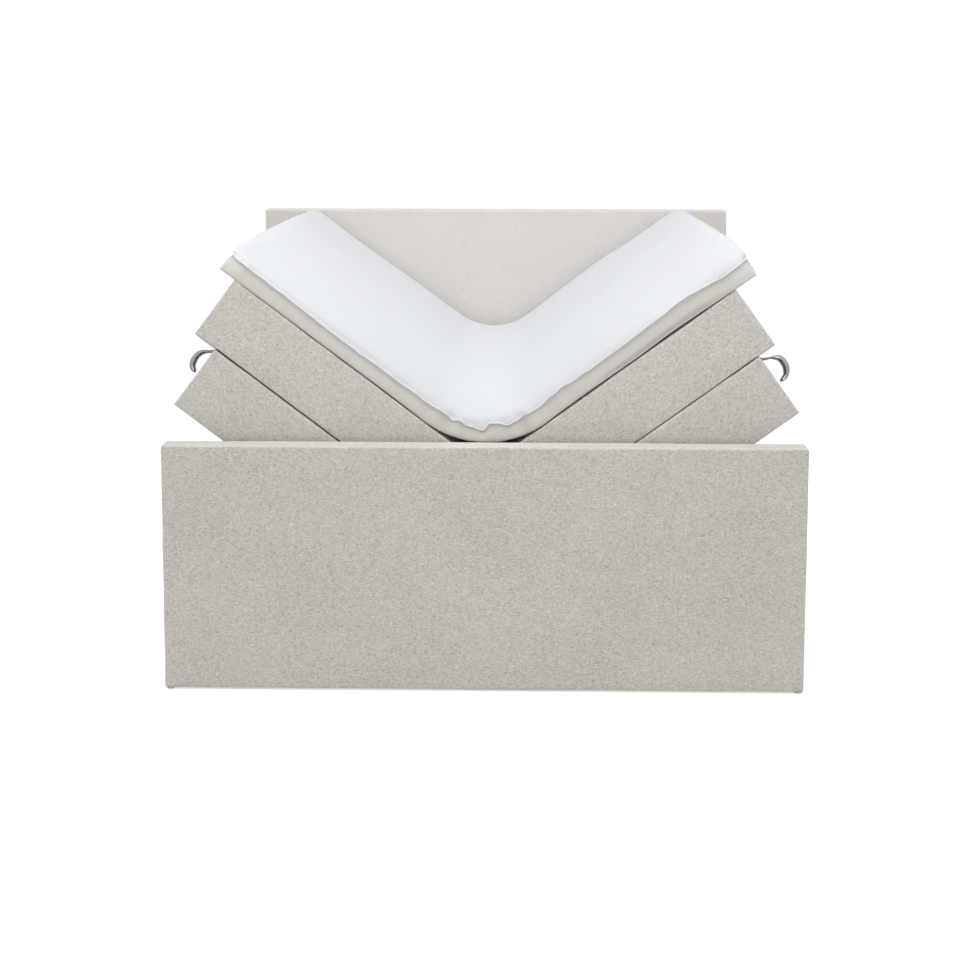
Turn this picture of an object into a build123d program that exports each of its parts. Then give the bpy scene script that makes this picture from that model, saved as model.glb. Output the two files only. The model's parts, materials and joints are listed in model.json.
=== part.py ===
from build123d import *
import os
from math import atan2, cos, degrees, hypot, radians, sin, tan

# A two-person box-spring bed with storage under its lids, standing open.
# X points right, -Y to the foot end, +Z up, in millimetres. The origin lies
# on the floor under the middle of the whole bed.
# Each side has a wing: an upholstered box-spring lid that tilts up about one
# pin at each end, with a mattress on it. One topper lies over both wings and
# bends in the valley between them. Gas struts hold the wings up.
# A wing is drawn closed and on the right, then raised about its pins, and
# mirrored for the left.

# Whole bed
BED_WIDTH = 1600.0
SLEEP_LENGTH = 2000.0
BOARD_GAP = 20.0
FOOTBOARD_HEIGHT = 620.0
FOOTBOARD_THICKNESS = 80.0
HEADBOARD_HEIGHT = 1093.0
HEADBOARD_THICKNESS = 100.0
BOARD_PAD = 12.0
BOARD_EDGE_RADIUS = 11.0

# Feet
GLIDE_HEIGHT = 5.0
GLIDE_RADIUS = 9.0
GLIDE_INSET = 12.0

# Heights of the layers, with the wings closed
LID_BASE_HEIGHT = 248.0
LID_THICKNESS = 175.0
MATTRESS_THICKNESS = 170.0
TOPPER_THICKNESS = 60.0

# How far the struts lift each wing, and where the wings turn
LEFT_OPEN_ANGLE = 37.1
RIGHT_OPEN_ANGLE = 36.0
PIVOT_FROM_CENTRE = 105.0
PIVOT_ABOVE_LID = 29.0

# Clearances
SEAT_GAP = 0.3
RUNNING_CLEARANCE = 0.05
HOLE_CLEARANCE = 0.2
CUT_OVERRUN = 5.0

# Storage box
SIDE_INSET = 5.0
SIDE_COVER_THICKNESS = 5.0
SIDE_COVER_LIP = 3.0
SIDE_PANEL_THICKNESS = 18.0
END_PANEL_THICKNESS = 25.0
PARTITION_THICKNESS = 36.0
PARTITION_HEIGHT = 200.0
BATTEN_HEIGHT = 25.0
BATTEN_WIDTH = 45.0
BATTEN_PITCH = 380.0
FLOOR_PANEL_THICKNESS = 8.0
NOTCH_HALF_WIDTH = 200.0
NOTCH_DEPTH = 23.0
BUMPER_HEIGHT = 5.0
BUMPER_RADIUS = 8.0
BUMPER_INSET = 60.0
BRACKET_LEG = 50.0
BRACKET_THICKNESS = 3.0
BRACKET_HEIGHT = 60.0
BRACKET_RISE = 90.0

# Bolts
BOLT_RADIUS = 4.0
BOLT_HEAD_RADIUS = 7.5
BOLT_HEAD_HEIGHT = 3.5
BOLT_GRIP = 30.0
BOARD_BOLT_INNER = 280.0
BOARD_BOLT_FROM_SIDE = 132.0
BOARD_BOLT_RISE = 125.0
PLATE_BOLT_OFFSET = 55.0
PLATE_BOLT_LOW = 40.0
PLATE_BOLT_HIGH = 130.0
ARM_BOLT_COUNT = 3
ARM_BOLT_PITCH = 75.0
ARM_BOLT_RISE = 35.0

# Wing pivots
PLATE_THICKNESS = 5.0
PLATE_HALF_WIDTH = 145.0
PLATE_CORNER_RADIUS = 28.0
PIN_RADIUS = 8.0
PIN_FLANGE_RADIUS = 12.0
PIN_FLANGE_THICKNESS = 3.0
PIN_END_GAP = 0.5
WASHER_RADIUS = 18.0
ARM_THICKNESS = 6.0
ARM_EYE_RADIUS = 28.0
ARM_INNER_X = 55.0
ARM_OUTER_X = 265.0
ARM_RISE = 15.0
ARM_TOP_DROP = 95.0

# Box-spring lids
LID_FROM_CENTRE = 30.0
LID_COVER_THICKNESS = 6.0
LID_EDGE_RADIUS = 7.0
LID_UNDERSIDE_THICKNESS = 4.0
LID_RAIL_THICKNESS = 22.0
LID_RAIL_HEIGHT = 70.0
LID_SLAT_WIDTH = 60.0
LID_SLAT_THICKNESS = 20.0
LID_SLAT_PITCH = 330.0

# Mattresses
MATTRESS_FROM_CENTRE = 10.0
MATTRESS_END_GAP = 4.0
MATTRESS_COVER_THICKNESS = 8.0
MATTRESS_EDGE_RADIUS = 12.0
MATTRESS_INNER_RADIUS = 36.0
MATTRESS_FOAM_THICKNESS = 24.0
LEFT_MATTRESS_SLIDE = 64.0
RIGHT_MATTRESS_SLIDE = 49.0

# Topper
TOPPER_HALF_WIDTH = 804.0
TOPPER_END_GAP = 5.0
TOPPER_SLIDE = 108.0
TOPPER_EDGE_RADIUS = 18.0
VALLEY_RADIUS = 270.0
VALLEY_MARGIN = 14.0

# Pull loops, one flat strap folded double: measured from the lid's top edge
LOOP_WIDTH = 28.0
LOOP_FROM_END = 6.0
LOOP_THICKNESS = 2.0
LOOP_DROP = 4.0
LOOP_REACH = 22.0
LOOP_OUTER_RADIUS = 45.0
LOOP_INNER_RADIUS = 33.0
LOOP_TAIL = 8.0

# Gas struts
STRUT_FROM_BOARD = 60.0
STRUT_FOOT_X = 120.0
STRUT_FOOT_RISE = 32.0
STRUT_HEAD_X = 420.0
STRUT_HEAD_DROP = 25.0
STRUT_TUBE_RADIUS = 11.0
STRUT_TUBE_WALL = 2.0
STRUT_TUBE_END = 6.0
STRUT_ROD_RADIUS = 5.0
STRUT_PISTON_LENGTH = 12.0
STRUT_STOP_GAP = 2.0
STRUT_EYE_WIDTH = 10.0
STRUT_EYE_RIM = 4.0
STRUT_FOOT_EYE_RADIUS = 12.0
STRUT_PIN_RADIUS = 4.0
STRUT_PIN_HEAD = 3.0
STRUT_FOOT_CAP_RADIUS = 8.0
STRUT_HEAD_CAP_RADIUS = 13.0
STRUT_HEAD_PLAY = 6.5
STRUT_SHOULDER_RADIUS = 7.0
STRUT_PLATE_HALF_WIDTH = 25.0
STRUT_PLATE_THICKNESS = 5.0
STRUT_LEG_THICKNESS = 4.0
STRUT_LEG_HALF_WIDTH = 15.0
STRUT_FLANGE_THICKNESS = 3.0
STRUT_FLANGE_WIDTH = 26.0

SIDES = (("left", LEFT_OPEN_ANGLE), ("right", RIGHT_OPEN_ANGLE))
MATTRESS_SLIDES = {"left": LEFT_MATTRESS_SLIDE, "right": RIGHT_MATTRESS_SLIDE}

# Places worked out from the sizes above
half_width = BED_WIDTH / 2
inner_length = SLEEP_LENGTH + 2 * BOARD_GAP
whole_length = FOOTBOARD_THICKNESS + inner_length + HEADBOARD_THICKNESS
foot_face = -whole_length / 2 + FOOTBOARD_THICKNESS
head_face = whole_length / 2 - HEADBOARD_THICKNESS
middle = (foot_face + head_face) / 2
ENDS = (("foot", foot_face, 1), ("head", head_face, -1))

rim = LID_BASE_HEIGHT - BUMPER_HEIGHT
notch_floor = rim - NOTCH_DEPTH
side_inner = half_width - SIDE_INSET - SIDE_COVER_THICKNESS - SIDE_PANEL_THICKNESS
floor_top = GLIDE_HEIGHT + BATTEN_HEIGHT + FLOOR_PANEL_THICKNESS
strut_foot_z = floor_top + STRUT_FOOT_RISE
lid_top = LID_BASE_HEIGHT + LID_THICKNESS
mattress_base = lid_top + SEAT_GAP
mattress_top = mattress_base + MATTRESS_THICKNESS
topper_base = mattress_top + SEAT_GAP
pivot_z = lid_top + PIVOT_ABOVE_LID
arm_near = BOARD_GAP - ARM_THICKNESS
lid_y = (middle - SLEEP_LENGTH / 2, middle + SLEEP_LENGTH / 2)
panel_y = (foot_face + END_PANEL_THICKNESS, head_face - END_PANEL_THICKNESS)


def block(x, y, z):
    """A box between the low and high values of x, y and z."""
    pairs = [sorted(pair) for pair in (x, y, z)]
    centre = [(low + high) / 2 for low, high in pairs]
    return Pos(*centre) * Box(*[high - low for low, high in pairs])


def shrunk(pair, by):
    return (pair[0] + by, pair[1] - by)


def round_bar(radius, x, y, z):
    """A round bar along Y at x and z, between the two values of y."""
    low, high = sorted(y)
    return Pos(x, (low + high) / 2, z) * Rot(90, 0, 0) * Cylinder(radius, high - low)


def from_board(end, near, far):
    """The y values at two distances inward from a board's inner face."""
    return (end[1] + end[2] * near, end[1] + end[2] * far)


def softened(shape, radius):
    """Rounds every edge that isn't on the underside."""
    low = shape.bounding_box().min.Z + radius
    return fillet([edge for edge in shape.edges() if edge.center().Z > low], radius)


def group(pieces):
    """Separate pieces that share one name."""
    return Compound([solid for piece in pieces for solid in piece.solids()])


def cut(shape, tools):
    for tool in tools:
        shape = shape - tool
    return shape


def on_side(shape, side):
    return mirror(shape, about=Plane.YZ) if side == "left" else shape


def turned(x, z, angle):
    """Where a point of the closed right wing stands once the wing is raised."""
    a = radians(angle)
    dx, dz = x - PIVOT_FROM_CENTRE, z - pivot_z
    return (PIVOT_FROM_CENTRE + dx * cos(a) - dz * sin(a), pivot_z + dx * sin(a) + dz * cos(a))


def raised(shape, angle):
    axis = Axis((PIVOT_FROM_CENTRE, 0, pivot_z), (0, -1, 0))
    return shape.rotate(axis, angle)


def bolt(end, x, z, seat, head_way):
    """A bolt along Y with its head on the given seat, on the room's side or the board's."""
    head = from_board(end, seat, seat + head_way * BOLT_HEAD_HEIGHT)
    shank = from_board(end, seat, seat - head_way * BOLT_GRIP)
    return round_bar(BOLT_HEAD_RADIUS, x, head, z) + round_bar(BOLT_RADIUS, x, shank, z)


def bolt_hole(end, x, z, seat, head_way):
    far = seat - head_way * (BOLT_GRIP + HOLE_CLEARANCE)
    deep = from_board(end, seat + head_way * CUT_OVERRUN, far)
    return round_bar(BOLT_RADIUS + HOLE_CLEARANCE, x, deep, z)


# Each kind of bolt: its places, the distance of its seat from the board, and
# which way its head faces
both = (-1, 1)
box_bolt_seat = END_PANEL_THICKNESS
box_bolt_xs = (BOARD_BOLT_INNER, side_inner - BOARD_BOLT_FROM_SIDE)
box_bolts = [(s * x, BOARD_BOLT_RISE) for s in both for x in box_bolt_xs]
plate_bolts = [
    (s * PLATE_BOLT_OFFSET, notch_floor + rise)
    for s in both
    for rise in (PLATE_BOLT_LOW, PLATE_BOLT_HIGH)
]
arm_bolts = [
    (ARM_OUTER_X - ARM_BOLT_RISE - n * ARM_BOLT_PITCH, LID_BASE_HEIGHT + ARM_BOLT_RISE)
    for n in range(ARM_BOLT_COUNT)
]


def board_holes(end):
    """Holes in a board for the bolts of the storage box and of the pivot plate."""
    holes = [bolt_hole(end, x, z, box_bolt_seat, 1) for x, z in box_bolts]
    return holes + [bolt_hole(end, x, z, PLATE_THICKNESS, 1) for x, z in plate_bolts]


def board(end, thickness, height):
    """An upholstered board: the wooden core and the padded cover round it."""
    x = (-half_width, half_width)
    y = (end[1] - end[2] * thickness, end[1])
    z = (GLIDE_HEIGHT, height)
    inner_y = shrunk(sorted(y), BOARD_PAD)
    core = block(shrunk(x, BOARD_PAD), inner_y, (GLIDE_HEIGHT, height - BOARD_PAD))
    cover = softened(block(x, y, z), BOARD_EDGE_RADIUS) - core
    holes = board_holes(end)
    return cut(core, holes), cut(cover, holes)


def glides():
    """Nail-on glides under the corners of both boards and along the partition."""
    x = half_width - GLIDE_INSET
    foot_rows = (-whole_length / 2 + GLIDE_INSET, foot_face - GLIDE_INSET)
    head_rows = (head_face + GLIDE_INSET, whole_length / 2 - GLIDE_INSET)
    places = [(s * x, y) for s in both for y in foot_rows + head_rows]
    places += [(0, y) for y in (panel_y[0] + BATTEN_PITCH, middle, panel_y[1] - BATTEN_PITCH)]
    disc = Pos(0, 0, GLIDE_HEIGHT / 2) * Cylinder(GLIDE_RADIUS, GLIDE_HEIGHT)
    return group([Pos(px, py, 0) * disc for px, py in places])


def side_panel():
    x = (side_inner, side_inner + SIDE_PANEL_THICKNESS)
    return block(x, (foot_face, head_face), (GLIDE_HEIGHT, rim - SIDE_COVER_LIP))


def side_cover():
    """Upholstery over the outside and the top edge of a side panel."""
    outer = half_width - SIDE_INSET
    whole = block((side_inner, outer), (foot_face, head_face), (GLIDE_HEIGHT, rim))
    return whole - side_panel()


def end_panel(end):
    """A box end, cut lower in the middle where the lids' inner edges swing down."""
    y = from_board(end, 0, END_PANEL_THICKNESS)
    whole = block((-side_inner, side_inner), y, (GLIDE_HEIGHT, rim))
    wide_y = from_board(end, -CUT_OVERRUN, END_PANEL_THICKNESS + CUT_OVERRUN)
    notch = block((-NOTCH_HALF_WIDTH, NOTCH_HALF_WIDTH), wide_y, (notch_floor, rim + CUT_OVERRUN))
    holes = [bolt_hole(end, x, z, box_bolt_seat, 1) for x, z in box_bolts]
    return cut(whole - notch, holes)


def partition():
    half = PARTITION_THICKNESS / 2
    return block((-half, half), panel_y, (GLIDE_HEIGHT, PARTITION_HEIGHT))


def floor_panel():
    low = GLIDE_HEIGHT + BATTEN_HEIGHT
    return block((PARTITION_THICKNESS / 2, side_inner), panel_y, (low, floor_top))


def battens():
    """Battens under both floor panels, from the partition to the side panels."""
    count = int((panel_y[1] - panel_y[0] - BATTEN_WIDTH) // BATTEN_PITCH) + 1
    start = (panel_y[0] + panel_y[1] - (count - 1) * BATTEN_PITCH) / 2
    bars = []
    for n in range(count):
        y = start + n * BATTEN_PITCH
        pair = (y - BATTEN_WIDTH / 2, y + BATTEN_WIDTH / 2)
        for s in both:
            x = (s * PARTITION_THICKNESS / 2, s * side_inner)
            bars.append(block(x, pair, (GLIDE_HEIGHT, GLIDE_HEIGHT + BATTEN_HEIGHT)))
    return group(bars)


def corner_brackets():
    """Angle brackets in the corners of both compartments."""
    z = (floor_top + BRACKET_RISE, floor_top + BRACKET_RISE + BRACKET_HEIGHT)
    pieces = []
    for end in ENDS:
        near = END_PANEL_THICKNESS
        for s in both:
            for x, way in ((side_inner, -1), (PARTITION_THICKNESS / 2, 1)):
                across = (s * x, s * (x + way * BRACKET_LEG))
                plate = (s * x, s * (x + way * BRACKET_THICKNESS))
                leg = block(across, from_board(end, near, near + BRACKET_THICKNESS), z)
                pieces.append(leg + block(plate, from_board(end, near, near + BRACKET_LEG), z))
    return group(pieces)


def bumpers():
    """Rubber stops on the box's rim that the closed lids rest on."""
    x_side = side_inner + SIDE_PANEL_THICKNESS / 2
    x_end = side_inner - BUMPER_INSET
    places = []
    for end in ENDS:
        y_end = from_board(end, END_PANEL_THICKNESS / 2, 0)[0] + end[2] * BUMPER_RADIUS
        y_side = from_board(end, BOARD_GAP + BUMPER_INSET, 0)[0]
        places += [(s * x_side, y_side) for s in both] + [(s * x_end, y_end) for s in both]
    height = BUMPER_HEIGHT - SEAT_GAP
    button = Pos(0, 0, rim + height / 2) * Cylinder(BUMPER_RADIUS, height)
    return group([Pos(x, y, 0) * button for x, y in places])


def pivot_plate(end):
    """A steel plate on a board's inner face that carries both wings' pins."""
    y = from_board(end, 0, PLATE_THICKNESS)
    top = pivot_z + PLATE_CORNER_RADIUS
    plate = block((-PLATE_HALF_WIDTH, PLATE_HALF_WIDTH), y, (notch_floor, top))
    corners = [e for e in plate.edges().filter_by(Axis.Y) if e.center().Z > pivot_z]
    plate = fillet(corners, PLATE_CORNER_RADIUS)
    return cut(plate, [bolt_hole(end, x, z, PLATE_THICKNESS, 1) for x, z in plate_bolts])


def pivot_pin(end, s):
    flange_far = PLATE_THICKNESS + PIN_FLANGE_THICKNESS
    flange = from_board(end, PLATE_THICKNESS, flange_far)
    shaft = from_board(end, flange_far, BOARD_GAP - PIN_END_GAP)
    x = s * PIVOT_FROM_CENTRE
    return round_bar(PIN_FLANGE_RADIUS, x, flange, pivot_z) + round_bar(PIN_RADIUS, x, shaft, pivot_z)


def pivot_washer(end, s):
    y = from_board(end, PLATE_THICKNESS + PIN_FLANGE_THICKNESS, arm_near - SEAT_GAP)
    wide = from_board(end, 0, BOARD_GAP)
    x = s * PIVOT_FROM_CENTRE
    bore = round_bar(PIN_RADIUS + RUNNING_CLEARANCE, x, wide, pivot_z)
    return round_bar(WASHER_RADIUS, x, y, pivot_z) - bore


def arm_holes(end):
    return [bolt_hole(end, x, z, arm_near, -1) for x, z in arm_bolts]


def hinge_arm(end):
    """The plate on a lid's end that rises past the mattress to the wing's pin."""
    low, shoulder = LID_BASE_HEIGHT + ARM_RISE, lid_top - ARM_TOP_DROP
    left, right = PIVOT_FROM_CENTRE - ARM_EYE_RADIUS, PIVOT_FROM_CENTRE + ARM_EYE_RADIUS
    outline = [
        (ARM_INNER_X, low),
        (ARM_OUTER_X, low),
        (ARM_OUTER_X, shoulder),
        (right, pivot_z),
        (left, pivot_z),
        (ARM_INNER_X, shoulder),
    ]
    face = make_face(Polyline(*[(x, 0, z) for x, z in outline], close=True))
    plate = Pos(0, end[1] + end[2] * (arm_near + ARM_THICKNESS / 2), 0) * extrude(
        face, amount=ARM_THICKNESS / 2, both=True
    )
    y = from_board(end, arm_near, BOARD_GAP)
    plate = plate + round_bar(ARM_EYE_RADIUS, PIVOT_FROM_CENTRE, y, pivot_z)
    wide = from_board(end, 0, 2 * BOARD_GAP)
    eye = round_bar(PIN_RADIUS + RUNNING_CLEARANCE, PIVOT_FROM_CENTRE, wide, pivot_z)
    return cut(plate, [eye] + arm_holes(end))


def lid_cavity(low, high):
    x = shrunk((LID_FROM_CENTRE, half_width), LID_COVER_THICKNESS)
    return block(x, shrunk(lid_y, LID_COVER_THICKNESS), (low, high))


def all_arm_holes():
    return [hole for end in ENDS for hole in arm_holes(end)]


def lid_cover():
    whole = softened(
        block((LID_FROM_CENTRE, half_width), lid_y, (LID_BASE_HEIGHT, lid_top)), LID_EDGE_RADIUS
    )
    inside = lid_cavity(LID_BASE_HEIGHT, lid_top - LID_COVER_THICKNESS)
    return cut(whole - inside, all_arm_holes())


def lid_underside():
    return lid_cavity(LID_BASE_HEIGHT, LID_BASE_HEIGHT + LID_UNDERSIDE_THICKNESS)


def lid_frame():
    """Rails round the lid and slats across it."""
    low = LID_BASE_HEIGHT + LID_UNDERSIDE_THICKNESS
    high = low + LID_RAIL_HEIGHT
    whole = lid_cavity(low, high)
    x = shrunk((LID_FROM_CENTRE, half_width), LID_COVER_THICKNESS + LID_RAIL_THICKNESS)
    y = shrunk(lid_y, LID_COVER_THICKNESS + LID_RAIL_THICKNESS)
    frame = whole - block(x, y, (low - CUT_OVERRUN, high + CUT_OVERRUN))
    count = int((y[1] - y[0] - LID_SLAT_WIDTH) // LID_SLAT_PITCH) + 1
    start = middle - (count - 1) * LID_SLAT_PITCH / 2
    for n in range(count):
        at = start + n * LID_SLAT_PITCH
        pair = (at - LID_SLAT_WIDTH / 2, at + LID_SLAT_WIDTH / 2)
        frame = frame + block(x, pair, (high - LID_SLAT_THICKNESS, high))
    return cut(frame, all_arm_holes())


def lid_springs():
    low = LID_BASE_HEIGHT + LID_UNDERSIDE_THICKNESS + LID_RAIL_HEIGHT
    return lid_cavity(low, lid_top - LID_COVER_THICKNESS)


def mattress_block(inset, low, high):
    """The mattress's shape, or its inside, with a large radius where the two mattresses press."""
    x = shrunk((MATTRESS_FROM_CENTRE, half_width), inset)
    y = shrunk(shrunk(lid_y, MATTRESS_END_GAP), inset)
    shape = block(x, y, (low, high))
    along = shape.edges().filter_by(Axis.Y)
    inner = [e for e in along if e.center().Z > low + inset and e.center().X < sum(x) / 2]
    return fillet(inner, MATTRESS_INNER_RADIUS - inset)


def mattress_cavity():
    high = mattress_top - MATTRESS_COVER_THICKNESS
    return mattress_block(MATTRESS_COVER_THICKNESS, mattress_base, high)


def mattress_cover():
    shape = mattress_block(0, mattress_base, mattress_top)
    low = mattress_base + MATTRESS_EDGE_RADIUS
    x_far = half_width - MATTRESS_EDGE_RADIUS
    outer = [e for e in shape.edges().filter_by(Axis.Y) if e.center().X > x_far]
    outer = [e for e in outer if e.center().Z > low]
    corners = [e for e in shape.edges().filter_by(Axis.Z) if e.center().X > x_far]
    return fillet(outer + corners, MATTRESS_EDGE_RADIUS) - mattress_cavity()


def mattress_layers():
    """The foam above and below the springs, and the springs between."""
    lower = mattress_base + MATTRESS_FOAM_THICKNESS
    upper = mattress_top - MATTRESS_COVER_THICKNESS - MATTRESS_FOAM_THICKNESS
    everywhere = (-BED_WIDTH, BED_WIDTH), (-whole_length, whole_length)
    springs = mattress_cavity() & block(*everywhere, (lower, upper))
    foam = mattress_cavity() - block(*everywhere, (lower, upper))
    return springs, group([foam])


def slid(shape, side):
    """A mattress creeps outward on its lid as the two press each other apart."""
    return Pos(MATTRESS_SLIDES[side], 0, 0) * shape


def surface_line(height, angle):
    """Height at x = 0, and slope, of a raised wing's plane that lies at height when closed."""
    a = radians(angle)
    return (pivot_z + (height - pivot_z) / cos(a) - PIVOT_FROM_CENTRE * tan(a), tan(a))


def valley_point(height):
    left, right = surface_line(height, LEFT_OPEN_ANGLE), surface_line(height, RIGHT_OPEN_ANGLE)
    x = (left[0] - right[0]) / (left[1] + right[1])
    return (x, right[0] + x * right[1])


def topper_whole():
    """The whole topper over the raised wings, in one curved slab."""
    reach = TOPPER_HALF_WIDTH + TOPPER_SLIDE
    low, high = topper_base, topper_base + TOPPER_THICKNESS
    right = [turned(reach, z, RIGHT_OPEN_ANGLE) for z in (low, high)]
    left = [turned(reach, z, LEFT_OPEN_ANGLE) for z in (low, high)]
    left = [(-x, z) for x, z in left]
    under, over = valley_point(low), valley_point(high)
    outline = [left[0], under, right[0], right[1], over, left[1]]
    face = make_face(Polyline(*[(x, 0, z) for x, z in outline], close=True))
    rounds = [(under, VALLEY_RADIUS), (over, VALLEY_RADIUS - TOPPER_THICKNESS)]
    rounds += [(point, TOPPER_EDGE_RADIUS) for point in left + right]
    for point, radius in rounds:
        nearest = face.vertices().sort_by_distance((point[0], 0, point[1]))[0]
        face = fillet(nearest, radius)
    length = SLEEP_LENGTH - 2 * TOPPER_END_GAP
    return Pos(0, middle, 0) * extrude(face, amount=length / 2, both=True)


def topper_pieces():
    """The topper cut into its valley and the two halves that lie on the wings."""
    widest = max(LEFT_OPEN_ANGLE, RIGHT_OPEN_ANGLE)
    split = VALLEY_RADIUS * sin(radians(widest)) + VALLEY_MARGIN
    whole = topper_whole()
    y, z = (-whole_length, whole_length), (0, 2 * HEADBOARD_HEIGHT)
    valley = whole & block((-split, split), y, z)
    right = whole & block((split + SEAT_GAP, BED_WIDTH), y, z)
    left = whole & block((-BED_WIDTH, -split - SEAT_GAP), y, z)
    return valley, left, right


def loop_outline(grow):
    """One side of the folded strap, seen along the bed: straight out, round and down to a round tip."""
    far = LOOP_REACH + LOOP_OUTER_RADIUS - grow
    near = LOOP_REACH - LOOP_THICKNESS + LOOP_INNER_RADIUS + grow
    outer, inner = LOOP_OUTER_RADIUS - grow, LOOP_INNER_RADIUS + grow
    top, bend = -LOOP_DROP - grow, -LOOP_DROP - LOOP_OUTER_RADIUS
    inner_bend = -LOOP_DROP - 2 * LOOP_THICKNESS - LOOP_INNER_RADIUS
    low = bend - LOOP_TAIL
    tip = (far - near) / 2
    start = 0 if grow == 0 else LOOP_REACH - LOOP_THICKNESS
    midway = sin(radians(45))
    round_out = (LOOP_REACH + outer * midway, 0, bend + outer * midway)
    round_in = (LOOP_REACH - LOOP_THICKNESS + inner * midway, 0, inner_bend + inner * midway)
    base = inner_bend + inner
    lines = [
        Line((start, 0, top), (LOOP_REACH, 0, top)),
        ThreePointArc((LOOP_REACH, 0, top), round_out, (far, 0, bend)),
        Line((far, 0, bend), (far, 0, low)),
        ThreePointArc((far, 0, low), (near + tip, 0, low - tip), (near, 0, low)),
        Line((near, 0, low), (near, 0, inner_bend)),
        ThreePointArc(
            (near, 0, inner_bend), round_in, (LOOP_REACH - LOOP_THICKNESS, 0, base)
        ),
    ]
    if grow == 0:
        lines.append(Line((LOOP_REACH - LOOP_THICKNESS, 0, base), (0, 0, base)))
        lines.append(Line((0, 0, base), (0, 0, top)))
    return make_face(Curve() + lines)


def pull_loop(angle):
    """The strap in the seam at a raised lid's outer top edge, near the foot end."""
    face = loop_outline(0) - loop_outline(LOOP_THICKNESS)
    strap = extrude(face, amount=LOOP_WIDTH / 2, both=True)
    x, z = turned(half_width, lid_top, angle)
    y = lid_y[0] + LOOP_FROM_END + LOOP_WIDTH / 2
    strap = Pos(x, y, z) * strap
    lid = raised(
        softened(
            block((LID_FROM_CENTRE, half_width), lid_y, (LID_BASE_HEIGHT, lid_top)),
            LID_EDGE_RADIUS,
        ),
        angle,
    )
    return strap - lid


def strut_reach(angle):
    """The slope and length of a strut, between its two eyes, with the wing at an angle."""
    x, z = turned(STRUT_HEAD_X, LID_BASE_HEIGHT - STRUT_HEAD_DROP, angle)
    dx, dz = x - STRUT_FOOT_X, z - strut_foot_z
    return degrees(atan2(dz, dx)), hypot(dx, dz)


def strut_places(angle):
    """Along the strut from its foot: the tube's start and end, and the piston."""
    start = STRUT_FOOT_EYE_RADIUS - STRUT_TUBE_WALL
    travel = strut_reach(angle)[1] - strut_reach(0)[1]
    room = STRUT_TUBE_END + STRUT_STOP_GAP + travel + STRUT_PISTON_LENGTH + STRUT_STOP_GAP
    end = start + room + STRUT_TUBE_END
    piston = end - STRUT_TUBE_END - STRUT_STOP_GAP - STRUT_PISTON_LENGTH
    return start, end, piston


def bar(radius, start, end):
    """A round bar along X."""
    return Pos((start + end) / 2, 0, 0) * Rot(0, 90, 0) * Cylinder(radius, end - start)


def in_place(shape, end, angle):
    """A strut piece drawn along X from its foot, set at the raised wing's angle."""
    y = from_board(end, STRUT_FROM_BOARD, 0)[0]
    shape = shape.rotate(Axis((0, 0, 0), (0, -1, 0)), strut_reach(angle)[0])
    return Pos(STRUT_FOOT_X, y, strut_foot_z) * shape


def eye_y(width):
    return (-width / 2, width / 2)


def strut_cylinder(end, angle):
    """The pressure tube, with its eye at the foot and the bore the piston runs in."""
    start, far, piston = strut_places(angle)
    tube = bar(STRUT_TUBE_RADIUS, start, far)
    tube = tube + round_bar(STRUT_FOOT_EYE_RADIUS, 0, eye_y(STRUT_EYE_WIDTH), 0)
    bore = bar(STRUT_TUBE_RADIUS - STRUT_TUBE_WALL, start + STRUT_TUBE_END, far - STRUT_TUBE_END)
    mouth = bar(STRUT_ROD_RADIUS + RUNNING_CLEARANCE, piston, far + CUT_OVERRUN)
    wide = eye_y(2 * STRUT_TUBE_RADIUS + CUT_OVERRUN)
    hole = round_bar(STRUT_PIN_RADIUS + RUNNING_CLEARANCE, 0, wide, 0)
    return in_place(cut(tube, [bore, mouth, hole]), end, angle)


def strut_rod(end, angle):
    """The piston, its rod and the eye that plays round the lid's stud."""
    piston = strut_places(angle)[2]
    length = strut_reach(angle)[1]
    hole = STRUT_PIN_RADIUS + STRUT_HEAD_PLAY
    rim_radius = hole + STRUT_EYE_RIM
    bore = STRUT_TUBE_RADIUS - STRUT_TUBE_WALL
    rod = bar(bore - RUNNING_CLEARANCE, piston, piston + STRUT_PISTON_LENGTH)
    rod = rod + bar(STRUT_ROD_RADIUS, piston, length - hole - STRUT_EYE_RIM / 2)
    wide = eye_y(STRUT_EYE_WIDTH)
    rod = rod + round_bar(rim_radius, length, wide, 0)
    return in_place(rod - round_bar(hole, length, eye_y(2 * STRUT_EYE_WIDTH), 0), end, angle)


def stud(end, x, z, root, cap):
    """A stud for a strut's eye: its shoulder, its shank and its cap of the given radius."""
    half = STRUT_EYE_WIDTH / 2
    near, far = STRUT_FROM_BOARD - half - SEAT_GAP, STRUT_FROM_BOARD + half + SEAT_GAP
    piece = round_bar(STRUT_SHOULDER_RADIUS, x, from_board(end, root, near), z)
    piece = piece + round_bar(STRUT_PIN_RADIUS, x, from_board(end, near, far), z)
    head = from_board(end, far, far + STRUT_PIN_HEAD)
    return piece + round_bar(cap, x, head, z)


def lower_bracket(end):
    """The plate and stud on the box's end that a strut stands on."""
    near, far = END_PANEL_THICKNESS, END_PANEL_THICKNESS + STRUT_PLATE_THICKNESS
    x = (STRUT_FOOT_X - STRUT_PLATE_HALF_WIDTH, STRUT_FOOT_X + STRUT_PLATE_HALF_WIDTH)
    z = (floor_top, strut_foot_z + STRUT_PLATE_HALF_WIDTH)
    plate = block(x, from_board(end, near, far), z)
    return plate + stud(end, STRUT_FOOT_X, strut_foot_z, far, STRUT_FOOT_CAP_RADIUS)


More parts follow.
